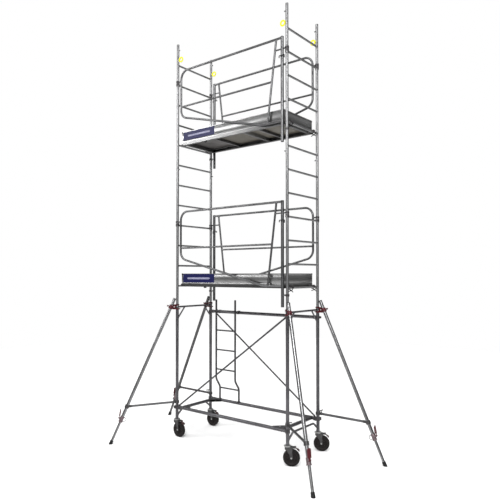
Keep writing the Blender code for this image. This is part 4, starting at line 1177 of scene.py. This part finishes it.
# ---- stage ----------------------------------------------------------------------------------
def studio():
    """White behind the tower; what its metal mirrors is a darker room with a bright ceiling."""
    world = bpy.data.worlds.new("studio")
    bpy.context.scene.world = world
    world.use_nodes = True
    tree = world.node_tree
    background = tree.nodes["Background"]
    heading = tree.nodes.new("ShaderNodeTexCoord").outputs["Generated"]
    height = tree.nodes.new("ShaderNodeSeparateXYZ")
    tree.links.new(heading, height.inputs["Vector"])
    room = tree.nodes.new("ShaderNodeValToRGB")
    room.color_ramp.elements[0].position = 0.0
    room.color_ramp.elements[0].color = (0.075, 0.075, 0.075, 1)
    room.color_ramp.elements[1].position = 0.85
    room.color_ramp.elements[1].color = (0.75, 0.75, 0.75, 1)
    tree.links.new(height.outputs["Z"], room.inputs["Fac"])
    seen = tree.nodes.new("ShaderNodeMix")
    seen.data_type = "RGBA"
    tree.links.new(tree.nodes.new("ShaderNodeLightPath").outputs["Is Camera Ray"], seen.inputs[0])
    tree.links.new(room.outputs["Color"], seen.inputs[6])
    seen.inputs[7].default_value = (1, 1, 1, 1)
    tree.links.new(seen.outputs[2], background.inputs["Color"])


def stage():
    scene = bpy.context.scene
    mesh = bpy.data.meshes.new("floor")
    size = 11
    corners = [(-size, -size, 0), (size, -size, 0), (size, size, 0), (-size, size, 0)]
    mesh.from_pydata(corners, [], [(0, 1, 2, 3)])
    floor = bpy.data.objects.new("floor", mesh)
    scene.collection.objects.link(floor)
    pale = Nodes("floor_pale", 0.0, 0.9)
    pale.colour(pale.ramp(pale.noise(0.6, 2.0), (0.3, 0.9), (0.7, 0.92)))
    mesh.materials.append(pale.material)

    scene.view_settings.view_transform = "Standard"
    studio()

    def light(name, spot, aim, size_m, power):
        data = bpy.data.lights.new(name, "AREA")
        data.shape = "RECTANGLE"
        data.size, data.size_y = size_m
        data.energy = power
        made = bpy.data.objects.new(name, data)
        scene.collection.objects.link(made)
        made.location = spot
        made.rotation_euler = (Vector(aim) - Vector(spot)).to_track_quat("-Z", "Y").to_euler()

    light("key", (5.0, -7.0, 7.0), (0, 0, 2.5), (1.5, 4.0), 700)
    light("fill", (-6.7, -6.0, 6.6), (-0.6, 0, 4.0), (2.0, 2.0), 300)
    sun = bpy.data.lights.new("top", "SUN")
    sun.energy = 2.0
    sun.angle = math.radians(60)
    top = bpy.data.objects.new("top", sun)
    top.rotation_euler = (math.radians(15), math.radians(10), 0)
    scene.collection.objects.link(top)

    camera = bpy.data.cameras.new("camera")
    camera.lens = 38.09
    camera.sensor_width = 36
    camera.shift_y = 0.025
    camera.clip_end = 200
    shown = bpy.data.objects.new("camera", camera)
    scene.collection.objects.link(shown)
    spot = TOWER @ Vector((4.42, -5.472, 2.224))
    yaw, pitch = math.radians(38.33), math.radians(1.29)
    level = math.cos(pitch)
    ahead = Vector((-math.sin(yaw) * level, math.cos(yaw) * level, math.sin(pitch)))
    shown.location = spot
    shown.rotation_euler = ahead.to_track_quat("-Z", "Y").to_euler()
    scene.camera = shown


ladder_frames()
joint_pins()
base_frames()
bottom_brace()
rear_beam()
diagonals()
access_ladder()
clips()
for name, height in PLATFORMS.items():
    platform(name, height)
guardrails()
castors()
stabilisers()
stage()
